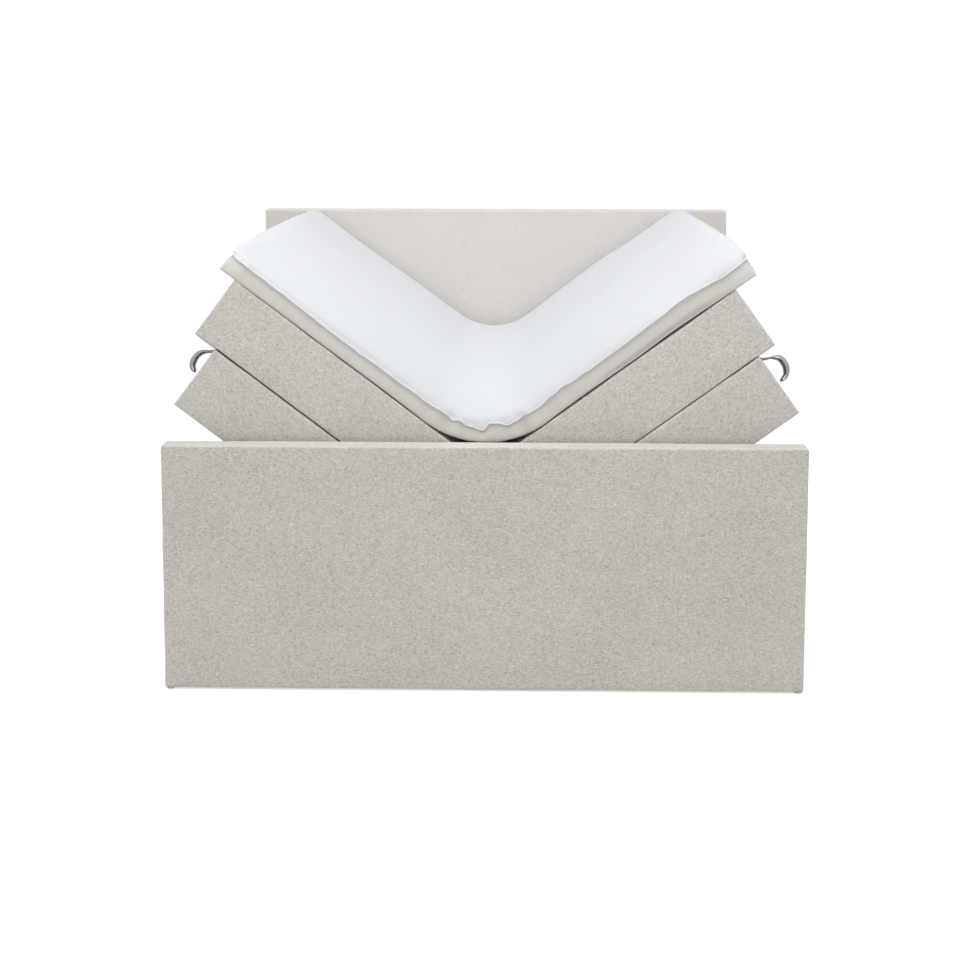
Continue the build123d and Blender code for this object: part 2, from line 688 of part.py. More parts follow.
def upper_bracket(end):
    """The angle plate under a lid with the stud for a strut's eye."""
    z = LID_BASE_HEIGHT - STRUT_HEAD_DROP
    far = STRUT_FROM_BOARD - STRUT_EYE_WIDTH
    near = far - STRUT_LEG_THICKNESS
    half = STRUT_LEG_HALF_WIDTH
    x = (STRUT_HEAD_X - half, STRUT_HEAD_X + half)
    leg = block(x, from_board(end, near, far), (z - half, LID_BASE_HEIGHT))
    flange_z = (LID_BASE_HEIGHT - STRUT_FLANGE_THICKNESS, LID_BASE_HEIGHT)
    flange_x = (STRUT_HEAD_X - 2 * half, STRUT_HEAD_X + 2 * half)
    flange = block(flange_x, from_board(end, far - STRUT_FLANGE_WIDTH, far), flange_z)
    return leg + flange + stud(end, STRUT_HEAD_X, z, far, STRUT_HEAD_CAP_RADIUS)


def base_nodes():
    """Everything that stands still."""
    footboard_panel, footboard_cover = board(ENDS[0], FOOTBOARD_THICKNESS, FOOTBOARD_HEIGHT)
    headboard_panel, headboard_cover = board(ENDS[1], HEADBOARD_THICKNESS, HEADBOARD_HEIGHT)
    nodes = {
        "footboard_panel": footboard_panel,
        "footboard_cover": footboard_cover,
        "headboard_panel": headboard_panel,
        "headboard_cover": headboard_cover,
        "centre_partition": partition(),
        "floor_battens": battens(),
        "corner_brackets": corner_brackets(),
        "lid_bumpers": bumpers(),
        "glides": glides(),
        "pivot_pins": group([pivot_pin(end, s) for end in ENDS for s in both]),
        "pivot_washers": group([pivot_washer(end, s) for end in ENDS for s in both]),
        "box_bolts": group([bolt(e, x, z, box_bolt_seat, 1) for e in ENDS for x, z in box_bolts]),
        "plate_bolts": group(
            [bolt(e, x, z, PLATE_THICKNESS, 1) for e in ENDS for x, z in plate_bolts]
        ),
    }
    lower = [lower_bracket(end) for end in ENDS]
    brackets = [on_side(piece, side) for side, angle in SIDES for piece in lower]
    nodes["strut_lower_brackets"] = group(brackets)
    for end in ENDS:
        nodes["end_panel_" + end[0]] = end_panel(end)
        nodes["pivot_plate_" + end[0]] = pivot_plate(end)
    for side, angle in SIDES:
        nodes["side_panel_" + side] = on_side(side_panel(), side)
        nodes["side_cover_" + side] = on_side(side_cover(), side)
        nodes["floor_panel_" + side] = on_side(floor_panel(), side)
    return nodes


def wing_nodes(side, angle):
    """One raised wing: the lid with its fittings, the mattress and the struts."""
    springs, foam = mattress_layers()
    lid = {
        "lid_cover_": lid_cover(),
        "lid_frame_": lid_frame(),
        "lid_springs_": lid_springs(),
        "lid_underside_": lid_underside(),
        "arm_bolts_": group([bolt(e, x, z, arm_near, -1) for e in ENDS for x, z in arm_bolts]),
        "strut_upper_brackets_": group([upper_bracket(end) for end in ENDS]),
        "mattress_cover_": slid(mattress_cover(), side),
        "mattress_springs_": slid(springs, side),
        "mattress_foam_": slid(foam, side),
    }
    for end in ENDS:
        lid["hinge_arm_" + end[0] + "_"] = hinge_arm(end)
    nodes = {name: raised(shape, angle) for name, shape in lid.items()}
    nodes["pull_loop_"] = pull_loop(angle)
    for end in ENDS:
        nodes["strut_cylinder_" + end[0] + "_"] = strut_cylinder(end, angle)
        nodes["strut_rod_" + end[0] + "_"] = strut_rod(end, angle)
    return {name + side: on_side(shape, side) for name, shape in nodes.items()}


def all_nodes():
    nodes = base_nodes()
    for side, angle in SIDES:
        nodes.update(wing_nodes(side, angle))
    valley, left, right = topper_pieces()
    nodes.update({"topper_valley": valley, "topper_left": left, "topper_right": right})
    return nodes


os.makedirs("parts", exist_ok=True)
for name, shape in all_nodes().items():
    export_step(shape, "parts/" + name + ".step")
    print(name, len(shape.solids()), round(shape.volume))
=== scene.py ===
import json
from math import asin, ceil, cos, pi, radians, sin, tan

import bpy
import numpy as np
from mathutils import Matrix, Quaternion, Vector


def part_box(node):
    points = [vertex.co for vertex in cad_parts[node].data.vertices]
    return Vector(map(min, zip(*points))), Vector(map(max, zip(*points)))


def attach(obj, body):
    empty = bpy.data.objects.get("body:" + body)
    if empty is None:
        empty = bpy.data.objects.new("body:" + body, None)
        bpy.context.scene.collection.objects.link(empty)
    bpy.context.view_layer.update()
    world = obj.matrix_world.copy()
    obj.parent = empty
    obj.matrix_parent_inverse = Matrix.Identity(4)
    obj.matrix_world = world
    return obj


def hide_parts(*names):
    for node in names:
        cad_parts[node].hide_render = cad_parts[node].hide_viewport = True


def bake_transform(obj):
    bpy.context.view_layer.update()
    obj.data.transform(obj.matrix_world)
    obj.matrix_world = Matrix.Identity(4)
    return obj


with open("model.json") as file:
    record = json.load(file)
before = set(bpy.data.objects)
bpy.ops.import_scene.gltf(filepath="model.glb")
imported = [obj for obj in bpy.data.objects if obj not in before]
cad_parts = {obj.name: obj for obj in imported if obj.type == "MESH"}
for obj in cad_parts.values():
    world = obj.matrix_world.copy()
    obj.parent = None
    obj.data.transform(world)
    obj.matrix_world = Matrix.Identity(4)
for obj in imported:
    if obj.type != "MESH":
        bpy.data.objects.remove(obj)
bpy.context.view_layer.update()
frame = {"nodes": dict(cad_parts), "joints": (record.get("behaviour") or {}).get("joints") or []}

# The looks of a two-person box-spring bed with storage, standing open.
# Everything is in metres, X right, -Y to the foot end, +Z up.
# Each side has its own frame, that of the closed right wing: pieces of a wing
# are made there, then raised about the wing's pins and mirrored for the left.

# Camera, at the photograph's viewing angle
CAMERA_PLACE = (0.0885, -6.0162, 1.4598)
CAMERA_YAW = -0.0201
CAMERA_PITCH = 0.138
CAMERA_ROLL = -0.0022
CAMERA_LENS = 75.7
CAMERA_SENSOR = 36
CAMERA_SHIFT = -0.1

# Floor: its glow to the camera, its shade and half its width, and the world's light
FLOOR_GLOW = 0.52
FLOOR_SHADE = 0.8
FLOOR_HALF = 40
WORLD_LIGHT = 0.6

# Lamps: place, aim, size, watts and spread in degrees
LAMPS = {
    "overhead": ((0, -1.15, 3.0), (0, -1.15, 0), (3.0, 0.9), 34, 180),
    "far_overhead": ((0, 0.95, 3.2), (0, 0.80, 0), (3.0, 0.7), 9.5, 120),
    "front": ((0, -6.5, 2.6), (0, 0, 0.5), (5.0, 2.5), 41, 180),
    "softbox": ((0, -3.4, 3.2), (0, 1.0, 0.95), (2.4, 1.0), 4.0, 50),
}

# Smallest length to divide by, and how close two places count as the same
LEAST = 1e-9
SAME = 1e-6
# A way with this much along one axis belongs to a flat side
FLAT_WAY = 0.999

# Random waves: how their lengths spread, and the most that they reach
WAVE_SPREAD = (0.75, 1.35)
WAVE_LIMIT = 2

# Upholstered blocks: pitch of their grid, steps round their edges, the band beside
# those, how flat the swollen sides are, and wavelength and share of their ripples
PITCH = 0.03
RIM_STEPS = 3
RIM_BAND = 0.0035
SWELL_POWER = 8
BLOCK_RIPPLES = ((0.16, 0.6), (0.07, 0.4))

# Radius of their edges, how far their sides swell along x, y and z, and ripple height
COVERS = {
    "board": (0.004, (0, 0.0008, 0), 0.0003),
    "lid": (0.0028, (0.0015, 0.0015, 0), 0.0003),
    "mattress": (0.0032, (0.002, 0.0015, 0), 0.0004),
}
MATTRESS_INNER_RADIUS = 0.036

# Joint between lid and mattress: a gap at its foot and head ends, and how far up a
# block its shape reaches. The lid's top is lowered there and along its outer edge:
# by how much, how far in from that edge, and over what distance it fades
JOINT_GAP = {"left": 0.0032, "right": 0.0016}
JOINT_REACH = 0.02
LID_TOP_DROP = (0.0015, 0.1, 0.03)

# How far below its board a lid's flat cloth is, and how far a mattress's underside
# past its lid is lowered over the foam inside
LID_UNDER_COVER = 0.00015
UNDER_FOAM = 0.0013
HANGING_FADE = 0.012

# Staples: from one to the next, length and wire
STAPLE_PITCH = 0.055
STAPLE_LENGTH = 0.011
STAPLE_WIRE = 0.0012

# Dust cover under a lid: inset, half its thickness and counts of its grid. Its ripples:
# wavelength, seed, height and fade. Its staples: inset, ends of a row, and rise
DUST_INSET = 0.028
DUST_HALF = 0.001
DUST_GRID = (30, 72)
DUST_RIPPLES = (0.12, 71, 0.0003, 0.05)
DUST_STAPLES = (0.007, 0.02, 0.0002)

# Cloth over the storage box's sides: thickness and depth of its fold over the rim, its
# ripples there as height and turns along the side, and its staples
FOLD_THICKNESS = 0.0012
FOLD_DEPTH = 0.034
FOLD_RIPPLES = ((0.0004, 61), (0.0003, 143))
FOLD_STATIONS = 80
RIM_STAPLE_RISE = 0.008
RIM_STAPLE_ENDS = (0.03, 0.02)

# Topper: radius and reach of its valley, size of its corners, height of its top seam and
# how far it stands out, how far its foot end is tucked in, and its piping
VALLEY_RADIUS = 0.27
VALLEY_REACH = 0.24
CORNER = 0.048
SEAM_HEIGHT = 0.044
SEAM_OVERHANG = 0.0042
FOOT_TUCK = 0.011
PIPING_RADIUS = 0.002
PIPING_SIDES = 7

# Over what distance the top rolls over, at the ends and along the foot and head edges,
# and the power of its curve at the ends
END_ROLL = 0.034
FOOT_ROLL = 0.046
ROLL_POWER = 2.4

# Topper's grid: places in from its outline, rows up its band, counts of places, and
# the narrow steps beside the valley's middle
RIM_PLACES = (0, 0.0007, 0.0016, 0.0032, 0.0056, 0.0095, 0.014, 0.02, 0.028, 0.037, CORNER)
BAND_ROWS = (0, 0.06, 0.12, 0.19, 0.38, 0.58, 0.76, 0.88, 0.95, 1.0)
SLOPE_COUNT = 64
VALLEY_COUNT = 32
LENGTH_COUNT = 170
VALLEY_SLIT = 0.001

# Topper's corners: how round its plan is at the underside, how much more at the top
# seam, and by which power of the height it grows
CORNER_ROUND = (0.15, 0.5, 0.7)
# How far in from the outline all points inside its rim count as being
INSIDE = CORNER + 0.01

# Where the photograph's own line of the seams holds: from this share of the length
# to the foot end. Past it, the height of the bottom seam
NEAR_FROM, NEAR_SHARE = 0.9, 0.1
HEM_HEIGHT = 0.003

# Topper's random waves: wavelength, seed, height and how much more in the valley
SEAM_WAVES = (0.11, 11, 0.0012, 0.0028)
SEAM_RUFFLES = (0.032, 15, 0.00035, 0.001)
PUCKERS = (0.042, 12, 0.0005, 0.0011)
# Ruffles of the seam at the head end: wavelength, seed and height. How they and the
# far end's lift fade towards the foot end
FAR_RUFFLES = (0.024, 17, 0.0011)
RUFFLE_FADE = 6
LIFT_FADE = 1.5
# Over the whole top: wavelength, seed and height
TOP_WAVES = ((0.5, 13, 0.0022), (0.17, 14, 0.0006))

# How far puckers stand out at the bottom seam, and how much more at the top one. On
# the top, how far in from the edge they reach, and how high and how far in they rise
PUCKER_LOW, PUCKER_MORE = 0.5, 0.8
PUCKER_REACH = 0.008
PUCKER_RISE, PUCKER_RISE_REACH = 1.1, 0.014

# Topper's band: how far its belly stands out, and a crease near its lower edge at
# one place along it: depth, place up the band and its width, place along and reach
BAND_BELLY = 0.0034
BELLY_POWER = 0.55
CREASE = (0.0045, 0.12, 0.03, 0.52, 0.17)

# The band's lip under the top seam: from where up the band, and its curve. How far in
# from the edge the foot end's lip on the top and the underside's rise reach
LIP_FROM, LIP_SHARE, LIP_POWER = 0.88, 0.12, 1.5
LIP_REACH = 0.005
HEM_REACH = 0.02

# Topper's stitched groove: depth, how far in from the edge, and half its width. Along
# the topper it is fainter to the right of a place, down to its least share
STITCH = (0.0012, 0.0032, 0.0013)
STITCH_FADE_PLACE, STITCH_LEAST = 0.7, 0.4
# Swollen edge at the topper's ends: how far out, how far in from the edge, and width
END_SWELL = (0.0055, 0.0024, 0.006)

# Height of the topper's top seam at the foot end, over its mean, along the topper
SEAM_RIPPLES = (
    (-0.81, 0), (-0.69, 0), (-0.6, -0.001), (-0.51, -0.003), (-0.4, -0.003),
    (-0.33, -0.001), (-0.26, -0.001), (-0.21, 0.001), (-0.18, 0), (-0.15, 0.003),
    (-0.125, 0.002), (-0.1, -0.004), (-0.07, -0.003), (-0.045, -0.009), (-0.017, -0.014),
    (-0.004, -0.012), (0.004, -0.002), (0.03, -0.001), (0.06, -0.005), (0.09, -0.005),
    (0.105, 0), (0.15, 0.002), (0.185, 0.002), (0.225, 0.008), (0.3, 0.005),
    (0.39, 0.005), (0.5, 0.008), (0.56, 0.01), (0.62, 0.013), (0.67, 0.008),
    (0.73, 0.001), (0.81, 0),
)
# Height of the bottom seam at the foot end over the mattresses
HEM_RIPPLES = (
    (-0.82, -0.001), (-0.7, 0.001), (-0.5, 0.002), (-0.2, 0.003), (-0.12, 0.001),
    (-0.05, -0.001), (0.05, -0.001), (0.12, 0.001), (0.2, 0.004), (0.34, 0.005),
    (0.45, 0.004), (0.53, 0.006), (0.62, 0.005), (0.68, 0.003), (0.74, 0.001), (0.82, -0.001),
)
# How thick the topper is over its top seam, along it
CROWN = (
    (-0.81, 0.018), (-0.6, 0.016), (-0.3, 0.018), (0, 0.02), (0.3, 0.022),
    (0.6, 0.027), (0.81, 0.033),
)
# How much higher the topper is at the head end, along it
FAR_LIFT = (
    (-0.81, 0.004), (-0.55, 0.01), (-0.2, 0.012), (0, 0.018), (0.15, 0.022),
    (0.5, 0.022), (0.81, 0.008),
)
# How far the top seam stands out at the topper's ends, by the distance from the foot end
END_OUTLINE = {
    "left": ((0, -0.01), (0.08, -0.004), (0.4, 0.003), (1.5, 0.003), (1.99, -0.004)),
    "right": ((0, -0.003), (0.08, 0.004), (0.25, 0.009), (1.5, 0.009), (1.99, 0.005)),
}

joints = {joint["name"]: joint for joint in frame["joints"]}


def ring_faces(rings, count, turned=False):
    """Faces between rings of points and over both ends. Turned, they face the other way."""
    faces = []
    for k in range(rings - 1):
        a, b = k * count, (k + 1) * count
        for n in range(count):
            m = (n + 1) % count
            faces.append((a + n, a + m, b + m, b + n) if turned else (a + n, b + n, b + m, a + m))
    way = -1 if turned else 1
    last = range((rings - 1) * count, rings * count)
    return faces + [tuple(range(count)[::way]), tuple(last[::-way])]


class Side:
    """One side of the bed, with the place and angle of its raised wing."""

    def __init__(self, name):
        tilt = joints["wing_%s_tilt" % name]
        self.name = name
        self.sign = -1 if name == "left" else 1
        self.angle = radians(-tilt["range_deg"][0])
        self.pin = (abs(tilt["pos_m"][0]), tilt["pos_m"][2])

    def turned(self, co, angle):
        dx, dz = co[:, 0] - self.pin[0], co[:, 2] - self.pin[1]
        x = self.pin[0] + dx * cos(angle) - dz * sin(angle)
        z = self.pin[1] + dx * sin(angle) + dz * cos(angle)
        return np.stack([x, co[:, 1], z], 1)

    def raised(self, co):
        return self.turned(co, self.angle) * (self.sign, 1, 1)

    def box(self, node):
        """Lowest and highest corner of one of the wing's nodes in the side's own frame."""
        data = frame["nodes"][node].data
        co = np.array([v.co for v in data.vertices]) * (self.sign, 1, 1)
        co = self.turned(co, -self.angle)
        return co.min(0), co.max(0)


sides = [Side("left"), Side("right")]


def waves(co, wavelength, seed, count=9):
    """A smooth random field of about -1 to 1, never beyond WAVE_LIMIT."""
    random = np.random.default_rng(seed)
    total = np.zeros(len(co))
    for _ in range(count):
        way = random.normal(size=3)
        length = wavelength * random.uniform(*WAVE_SPREAD)
        way = way / np.linalg.norm(way) * 2 * pi / length
        total += np.sin(co @ way + random.uniform(0, 2 * pi))
    return np.clip(total / (count / 2) ** 0.5, -WAVE_LIMIT, WAVE_LIMIT)


def bell(value, middle, width):
    """1 at the middle, falling smoothly to 0 within about twice the width."""
    return np.exp(-(((value - middle) / width) ** 2))


def table(points, at):
    """A smooth curve through a short list of places and values."""
    places = np.array([p[0] for p in points])
    values = np.array([p[1] for p in points])
    at = np.clip(at, places[0], places[-1])
    k = np.clip(np.searchsorted(places, at) - 1, 0, len(places) - 2)
    t = (at - places[k]) / (places[k + 1] - places[k])
    slopes = np.gradient(values, places)
    width = places[k + 1] - places[k]
    a, b = values[k], values[k + 1]
    return (
        a * (2 * t**3 - 3 * t**2 + 1)
        + b * (3 * t**2 - 2 * t**3)
        + slopes[k] * width * (t**3 - 2 * t**2 + t)
        + slopes[k + 1] * width * (t**3 - t**2)
    )


# Keeps the weave of a block's three facings apart
FACING_STEP = 0.71


def read(items, name):
    values = np.zeros(len(items), int)
    items.foreach_get(name, values)
    return values


def lay_cloth(mesh, own):
    """Stores where each corner of each face lies on its flat cloth, in metres."""
    corner_vertex = read(mesh.loops, "vertex_index")
    start, total = read(mesh.polygons, "loop_start"), read(mesh.polygons, "loop_total")
    first, second, third, last = (own[corner_vertex[start + k]] for k in (0, 1, 2, total - 1))
    facing = np.abs(np.cross(third - first, last - second)).argmax(1)
    facing = np.repeat(facing, total)
    across = np.where(facing == 0, own[corner_vertex, 1], own[corner_vertex, 0])
    along = np.where(facing == 2, own[corner_vertex, 1], own[corner_vertex, 2])
    cloth = np.stack([across, along, facing * FACING_STEP], 1).astype(np.float32)
    store = mesh.attributes.new("cloth", "FLOAT_VECTOR", "CORNER")
    store.data.foreach_set("vector", cloth.ravel())


def placed(name, data):
    """A new object in the scene."""
    thing = bpy.data.objects.new(name, data)
    bpy.context.scene.collection.objects.link(thing)
    return thing


def piece(name, co, faces, materials, own=None, mirrored=False, which=None):
    """A smooth mesh object, with its cloth laid in the frame that it was made in."""
    if mirrored:
        faces = [tuple(reversed(face)) for face in faces]
    mesh = bpy.data.meshes.new(name)
    mesh.from_pydata([tuple(p) for p in co], [], [tuple(int(i) for i in f) for f in faces])
    for material in materials:
        mesh.materials.append(material)
    if which is not None:
        mesh.polygons.foreach_set("material_index", np.array(which, np.int32))
    mesh.polygons.foreach_set("use_smooth", np.ones(len(mesh.polygons), bool))
    lay_cloth(mesh, np.array(co if own is None else own))
    mesh.update()
    return placed(name, mesh)


def stations(low, high, rim):
    """Places along one edge of a box, closer together on its rounded rims."""
    close = [rim * (1 - tan(pi / 4 * k / RIM_STEPS)) for k in range(RIM_STEPS, 0, -1)]
    close = np.array(close + [rim])
    rim = rim + RIM_BAND
    count = max(1, ceil((high - low - 2 * rim) / PITCH))
    flat = np.linspace(low + rim, high - rim, count + 1)
    return np.concatenate([low + close, flat, (high - close)[::-1]])


def grid_box(xs, ys, zs):
    """The surface of a box as a grid: corner places, their indices and the faces."""
    size = (len(xs), len(ys), len(zs))
    found, keys, faces = {}, [], []

    def corner(key):
        if key not in found:
            found[key] = len(keys)
            keys.append(key)
        return found[key]

    for axis in range(3):
        b, c = (axis + 1) % 3, (axis + 2) % 3
        for end in (0, size[axis] - 1):
            for i in range(size[b] - 1):
                for j in range(size[c] - 1):
                    face = []
                    for p, q in ((i, j), (i + 1, j), (i + 1, j + 1), (i, j + 1)):
                        key = [0, 0, 0]
                        key[axis], key[b], key[c] = end, p, q
                        face.append(corner(tuple(key)))
                    faces.append(face if end else face[::-1])
    keys = np.array(keys)
    co = np.stack([xs[keys[:, 0]], ys[keys[:, 1]], zs[keys[:, 2]]], 1)
    return co, keys, faces


def rounded(co, low, high, radius):
    """Moves a box's surface onto its rounded edges, and gives the outward ways."""
    inner = np.clip(co, low + radius, high - radius)
    out = co - inner
    way = out / np.maximum(np.linalg.norm(out, axis=1, keepdims=True), LEAST)
    return inner + way * radius, way


def crowned(co, way, low, high, amount):
    """How far each point of a box's flat sides swells outward."""
    share = np.clip((co - low) / (high - low), 0, 1)
    bump = 1 - (2 * share - 1) ** SWELL_POWER
    swell = np.zeros(len(co))
    for axis in range(3):
        b, c = (axis + 1) % 3, (axis + 2) % 3
        flat = np.abs(way[:, axis]) > FLAT_WAY
        swell += flat * bump[:, b] * bump[:, c] * amount[axis]
    return swell


def upholstered(low, high, kind, seed):
    """A block covered in cloth: rounded edges, slightly swollen sides and faint ripples."""
    radius, swell, ripple = COVERS[kind]
    grid = [stations(low[k], high[k], radius) for k in range(3)]
    co, _, faces = grid_box(*grid)
    shape, way = rounded(co, low, high, radius)
    out = crowned(shape, way, low, high, swell)
    out += ripple * sum(
        share * waves(shape, wavelength, seed + k)
        for k, (wavelength, share) in enumerate(BLOCK_RIPPLES)
    )
    return shape + way * out[:, None], co, faces


def feed(tree, node, inputs):
    """Links or sets a node's inputs, each by its name or number."""
    for key, value in inputs:
        if hasattr(value, "is_output"):
            tree.links.new(value, node.inputs[key])
        else:
            node.inputs[key].default_value = value


def adder(tree):
    """A way to add nodes to a tree, with their inputs and settings."""

    def add(kind, inputs=(), **settings):
        node = tree.nodes.new(kind)
        for key, value in settings.items():
            setattr(node, key, value)
        feed(tree, node, inputs)
        return node

    return add


def nodes_of(name):
    """A new material with its node tree, its shader and a way to add nodes."""
    material = bpy.data.materials.new(name)
    material.use_nodes = True
    tree = material.node_tree
    return material, tree, tree.nodes["Principled BSDF"], adder(tree)


def maths(add, operation, *values):
    return add("ShaderNodeMath", enumerate(values), operation=operation).outputs[0]


def mapped(add, vector, scale):
    return add("ShaderNodeMapping", [("Vector", vector), ("Scale", scale)]).outputs["Vector"]


def cloth_place(add, across, along):
    """A place on the flat cloth, in units of a length across it and one along it."""
    place = add("ShaderNodeAttribute", attribute_name="cloth", attribute_type="GEOMETRY")
    return mapped(add, place.outputs["Vector"], (1 / across, 1 / along, 1))


def object_place(add, scale):
    return mapped(add, add("ShaderNodeTexCoord").outputs["Object"], scale)


def noise_of(add, vector, detail=2.0, rough=0.5):
    inputs = [("Vector", vector), ("Scale", 1.0), ("Detail", detail), ("Roughness", rough)]
    return add("ShaderNodeTexNoise", inputs).outputs["Fac"]


def mixed(add, a, b, share):
    """a and b added with shares that sum to one."""
    return maths(add, "MULTIPLY_ADD", b, share, maths(add, "MULTIPLY", a, 1 - share))


def ramp(add, value, stops):
    node = add("ShaderNodeValToRGB", [("Fac", value)])
    while len(node.color_ramp.elements) < len(stops):
        node.color_ramp.elements.new(0.5)
    for element, (place, colour) in zip(node.color_ramp.elements, stops):
        element.position = place
        element.color = (*colour, 1)
    return node.outputs["Color"]


def bumped(add, height, strength, distance):
    inputs = [("Height", height), ("Strength", strength), ("Distance", distance)]
    return add("ShaderNodeBump", inputs).outputs["Normal"]


def tint(colour, factor, hue=(1, 1, 1)):
    return tuple(min(1.0, c * factor * h) for c, h in zip(colour, hue))


def multiplied(add, first, second):
    """Two colours multiplied. The sockets of this node share names, so they go by number."""
    inputs = [("Factor", 1.0), (6, first), (7, second)]
    return add("ShaderNodeMix", inputs, data_type="RGBA", blend_type="MULTIPLY").outputs[2]


# Melange cloth. A thread is this many times as long as it is wide, and slubs in the
# yarn lie across the cloth or stand along it
THREAD_STRETCH = 14
LYING_SLUB = (0.0082, 0.0021)
STANDING_SLUB = (0.0021, 0.007)
STANDING_SHARE = 0.42
SLUB_SHARE = 0.75
# Broad light and dark patches, and patches of slightly different hue
BROAD_PATCH = (0.22, 0.16)
BROAD_SHARE = 0.05
HUE_PATCH = (0.013, 0.008)
HUES = ((0.38, (0.992, 0.994, 0.983)), (0.62, (1.0, 0.990, 0.977)))
DARK_YARN_HUE = (1.030, 0.985, 0.970)
# Yarns from dark to light: value of the noise, contrasts from the cloth's colour, hue
YARNS = (
    (0.34, -2.6, DARK_YARN_HUE), (0.455, -0.35, (1, 1, 1)),
    (0.545, 0.35, (1, 1, 1)), (0.66, 2.0, (1, 1, 1)),
)


def woven_material(name, colour, contrast, thread, sheen):
    """Woven melange cloth: crossing threads of mixed light and dark yarn."""
    material, tree, shader, add = nodes_of(name)
    warp = noise_of(add, cloth_place(add, thread, THREAD_STRETCH * thread), detail=1.0)
    weft = noise_of(add, cloth_place(add, THREAD_STRETCH * thread, thread), detail=1.0)
    yarn = mixed(add, warp, weft, 0.5)
    lying = noise_of(add, cloth_place(add, *LYING_SLUB), rough=0.65)
    standing = noise_of(add, cloth_place(add, *STANDING_SLUB), rough=0.65)
    speck = mixed(add, yarn, mixed(add, lying, standing, STANDING_SHARE), SLUB_SHARE)
    broad = noise_of(add, cloth_place(add, *BROAD_PATCH))
    value = mixed(add, speck, broad, BROAD_SHARE)
    stops = [(place, tint(colour, 1 + step * contrast, hue)) for place, step, hue in YARNS]
    warmth = ramp(add, noise_of(add, cloth_place(add, *HUE_PATCH)), HUES)
    feed(tree, shader, [
        ("Base Color", multiplied(add, ramp(add, value, stops), warmth)),
        ("Roughness", 0.92), ("Specular IOR Level", 0.15),
        ("Sheen Weight", sheen), ("Sheen Roughness", 0.30),
        ("Normal", bumped(add, speck, strength=0.55, distance=0.0022)),
    ])
    return material


# Knit: how long its loops are, against its ribs, and patches of softer light and dark
LOOP_STRETCH = 2.2
SOFT_PATCH = (0.09, 0.07)
SOFT_SHARE = 0.35


def knit_material(name, colour, rib, contrast):
    """A fine plain knit, nearly smooth, with faint ribs."""
    material, tree, shader, add = nodes_of(name)
    loops = noise_of(add, cloth_place(add, rib, LOOP_STRETCH * rib), detail=1.0)
    soft = noise_of(add, cloth_place(add, *SOFT_PATCH))
    value = mixed(add, loops, soft, SOFT_SHARE)
    stops = [(0.30, tint(colour, 1 - contrast)), (0.70, tint(colour, 1 + contrast))]
    feed(tree, shader, [
        ("Base Color", ramp(add, value, stops)),
        ("Roughness", 0.85), ("Specular IOR Level", 0.2),
        ("Sheen Weight", 0.1), ("Sheen Roughness", 0.5),
        ("Normal", bumped(add, loops, strength=0.35, distance=0.0008)),
    ])
    return material


# Solid materials: smudges per metre, their share, spread of roughness and grain depth
SMUDGES = (9, 9, 9)
SMUDGE_SHARE = 0.3
ROUGHNESS_SPREAD = 0.07
GRAIN_DEPTH = 0.0006
# Dark and light colour, grains per metre, roughness, strength of relief and metallic
SOLIDS = {
    "timber": ((0.46, 0.31, 0.17), (0.66, 0.50, 0.31), (14, 320, 320), 0.62, 0.25, 0),
    "fibreboard": ((0.52, 0.50, 0.46), (0.62, 0.60, 0.56), (420,) * 3, 0.55, 0.12, 0),
    "black_steel": ((0.02, 0.02, 0.022), (0.034, 0.034, 0.037), (650,) * 3, 0.42, 0.3, 0),
    "plain_steel": ((0.55, 0.55, 0.56), (0.68, 0.68, 0.69), (500,) * 3, 0.30, 0.1, 1),
    "plastic": ((0.50, 0.49, 0.47), (0.58, 0.57, 0.55), (300,) * 3, 0.45, 0.1, 0),
    "rubber": ((0.03,) * 3, (0.05,) * 3, (300,) * 3, 0.75, 0.1, 0),
    "foam": ((0.72, 0.66, 0.47), (0.82, 0.77, 0.60), (700,) * 3, 0.9, 0.5, 0),
}
# How the names of the CAD nodes of each solid material start
CAD_NODES = {
    "timber": "floor_battens lid_frame",
    "fibreboard": "footboard_panel headboard_panel side_panel end_panel floor_panel "
    "centre_partition lid_underside",
    "black_steel": "pivot_plate hinge_arm corner_brackets strut_lower strut_upper strut_cylinder",
    "plain_steel": "box_bolts plate_bolts arm_bolts pivot_pins pivot_washers strut_rod "
    "lid_springs mattress_springs",
    "plastic": "glides",
    "rubber": "lid_bumpers",
    "foam": "mattress_foam",
}


def solid_material(name, dark, light, scale, roughness, bump, metallic):
    """Paint, metal, board, plastic or rubber, with a faint grain in colour and relief."""
    material, tree, shader, add = nodes_of(name)
    grain = noise_of(add, object_place(add, scale), detail=4.0, rough=0.6)
    smudge = noise_of(add, object_place(add, SMUDGES))
    value = mixed(add, grain, smudge, SMUDGE_SHARE)
    least, most = roughness - ROUGHNESS_SPREAD, roughness + ROUGHNESS_SPREAD
    worn = add("ShaderNodeMapRange", [("Value", value), ("To Min", least), ("To Max", most)])
    feed(tree, shader, [
        ("Base Color", ramp(add, value, [(0.35, dark), (0.65, light)])),
        ("Roughness", worn.outputs["Result"]), ("Metallic", metallic),
        ("Normal", bumped(add, grain, bump, GRAIN_DEPTH)),
    ])
    return material


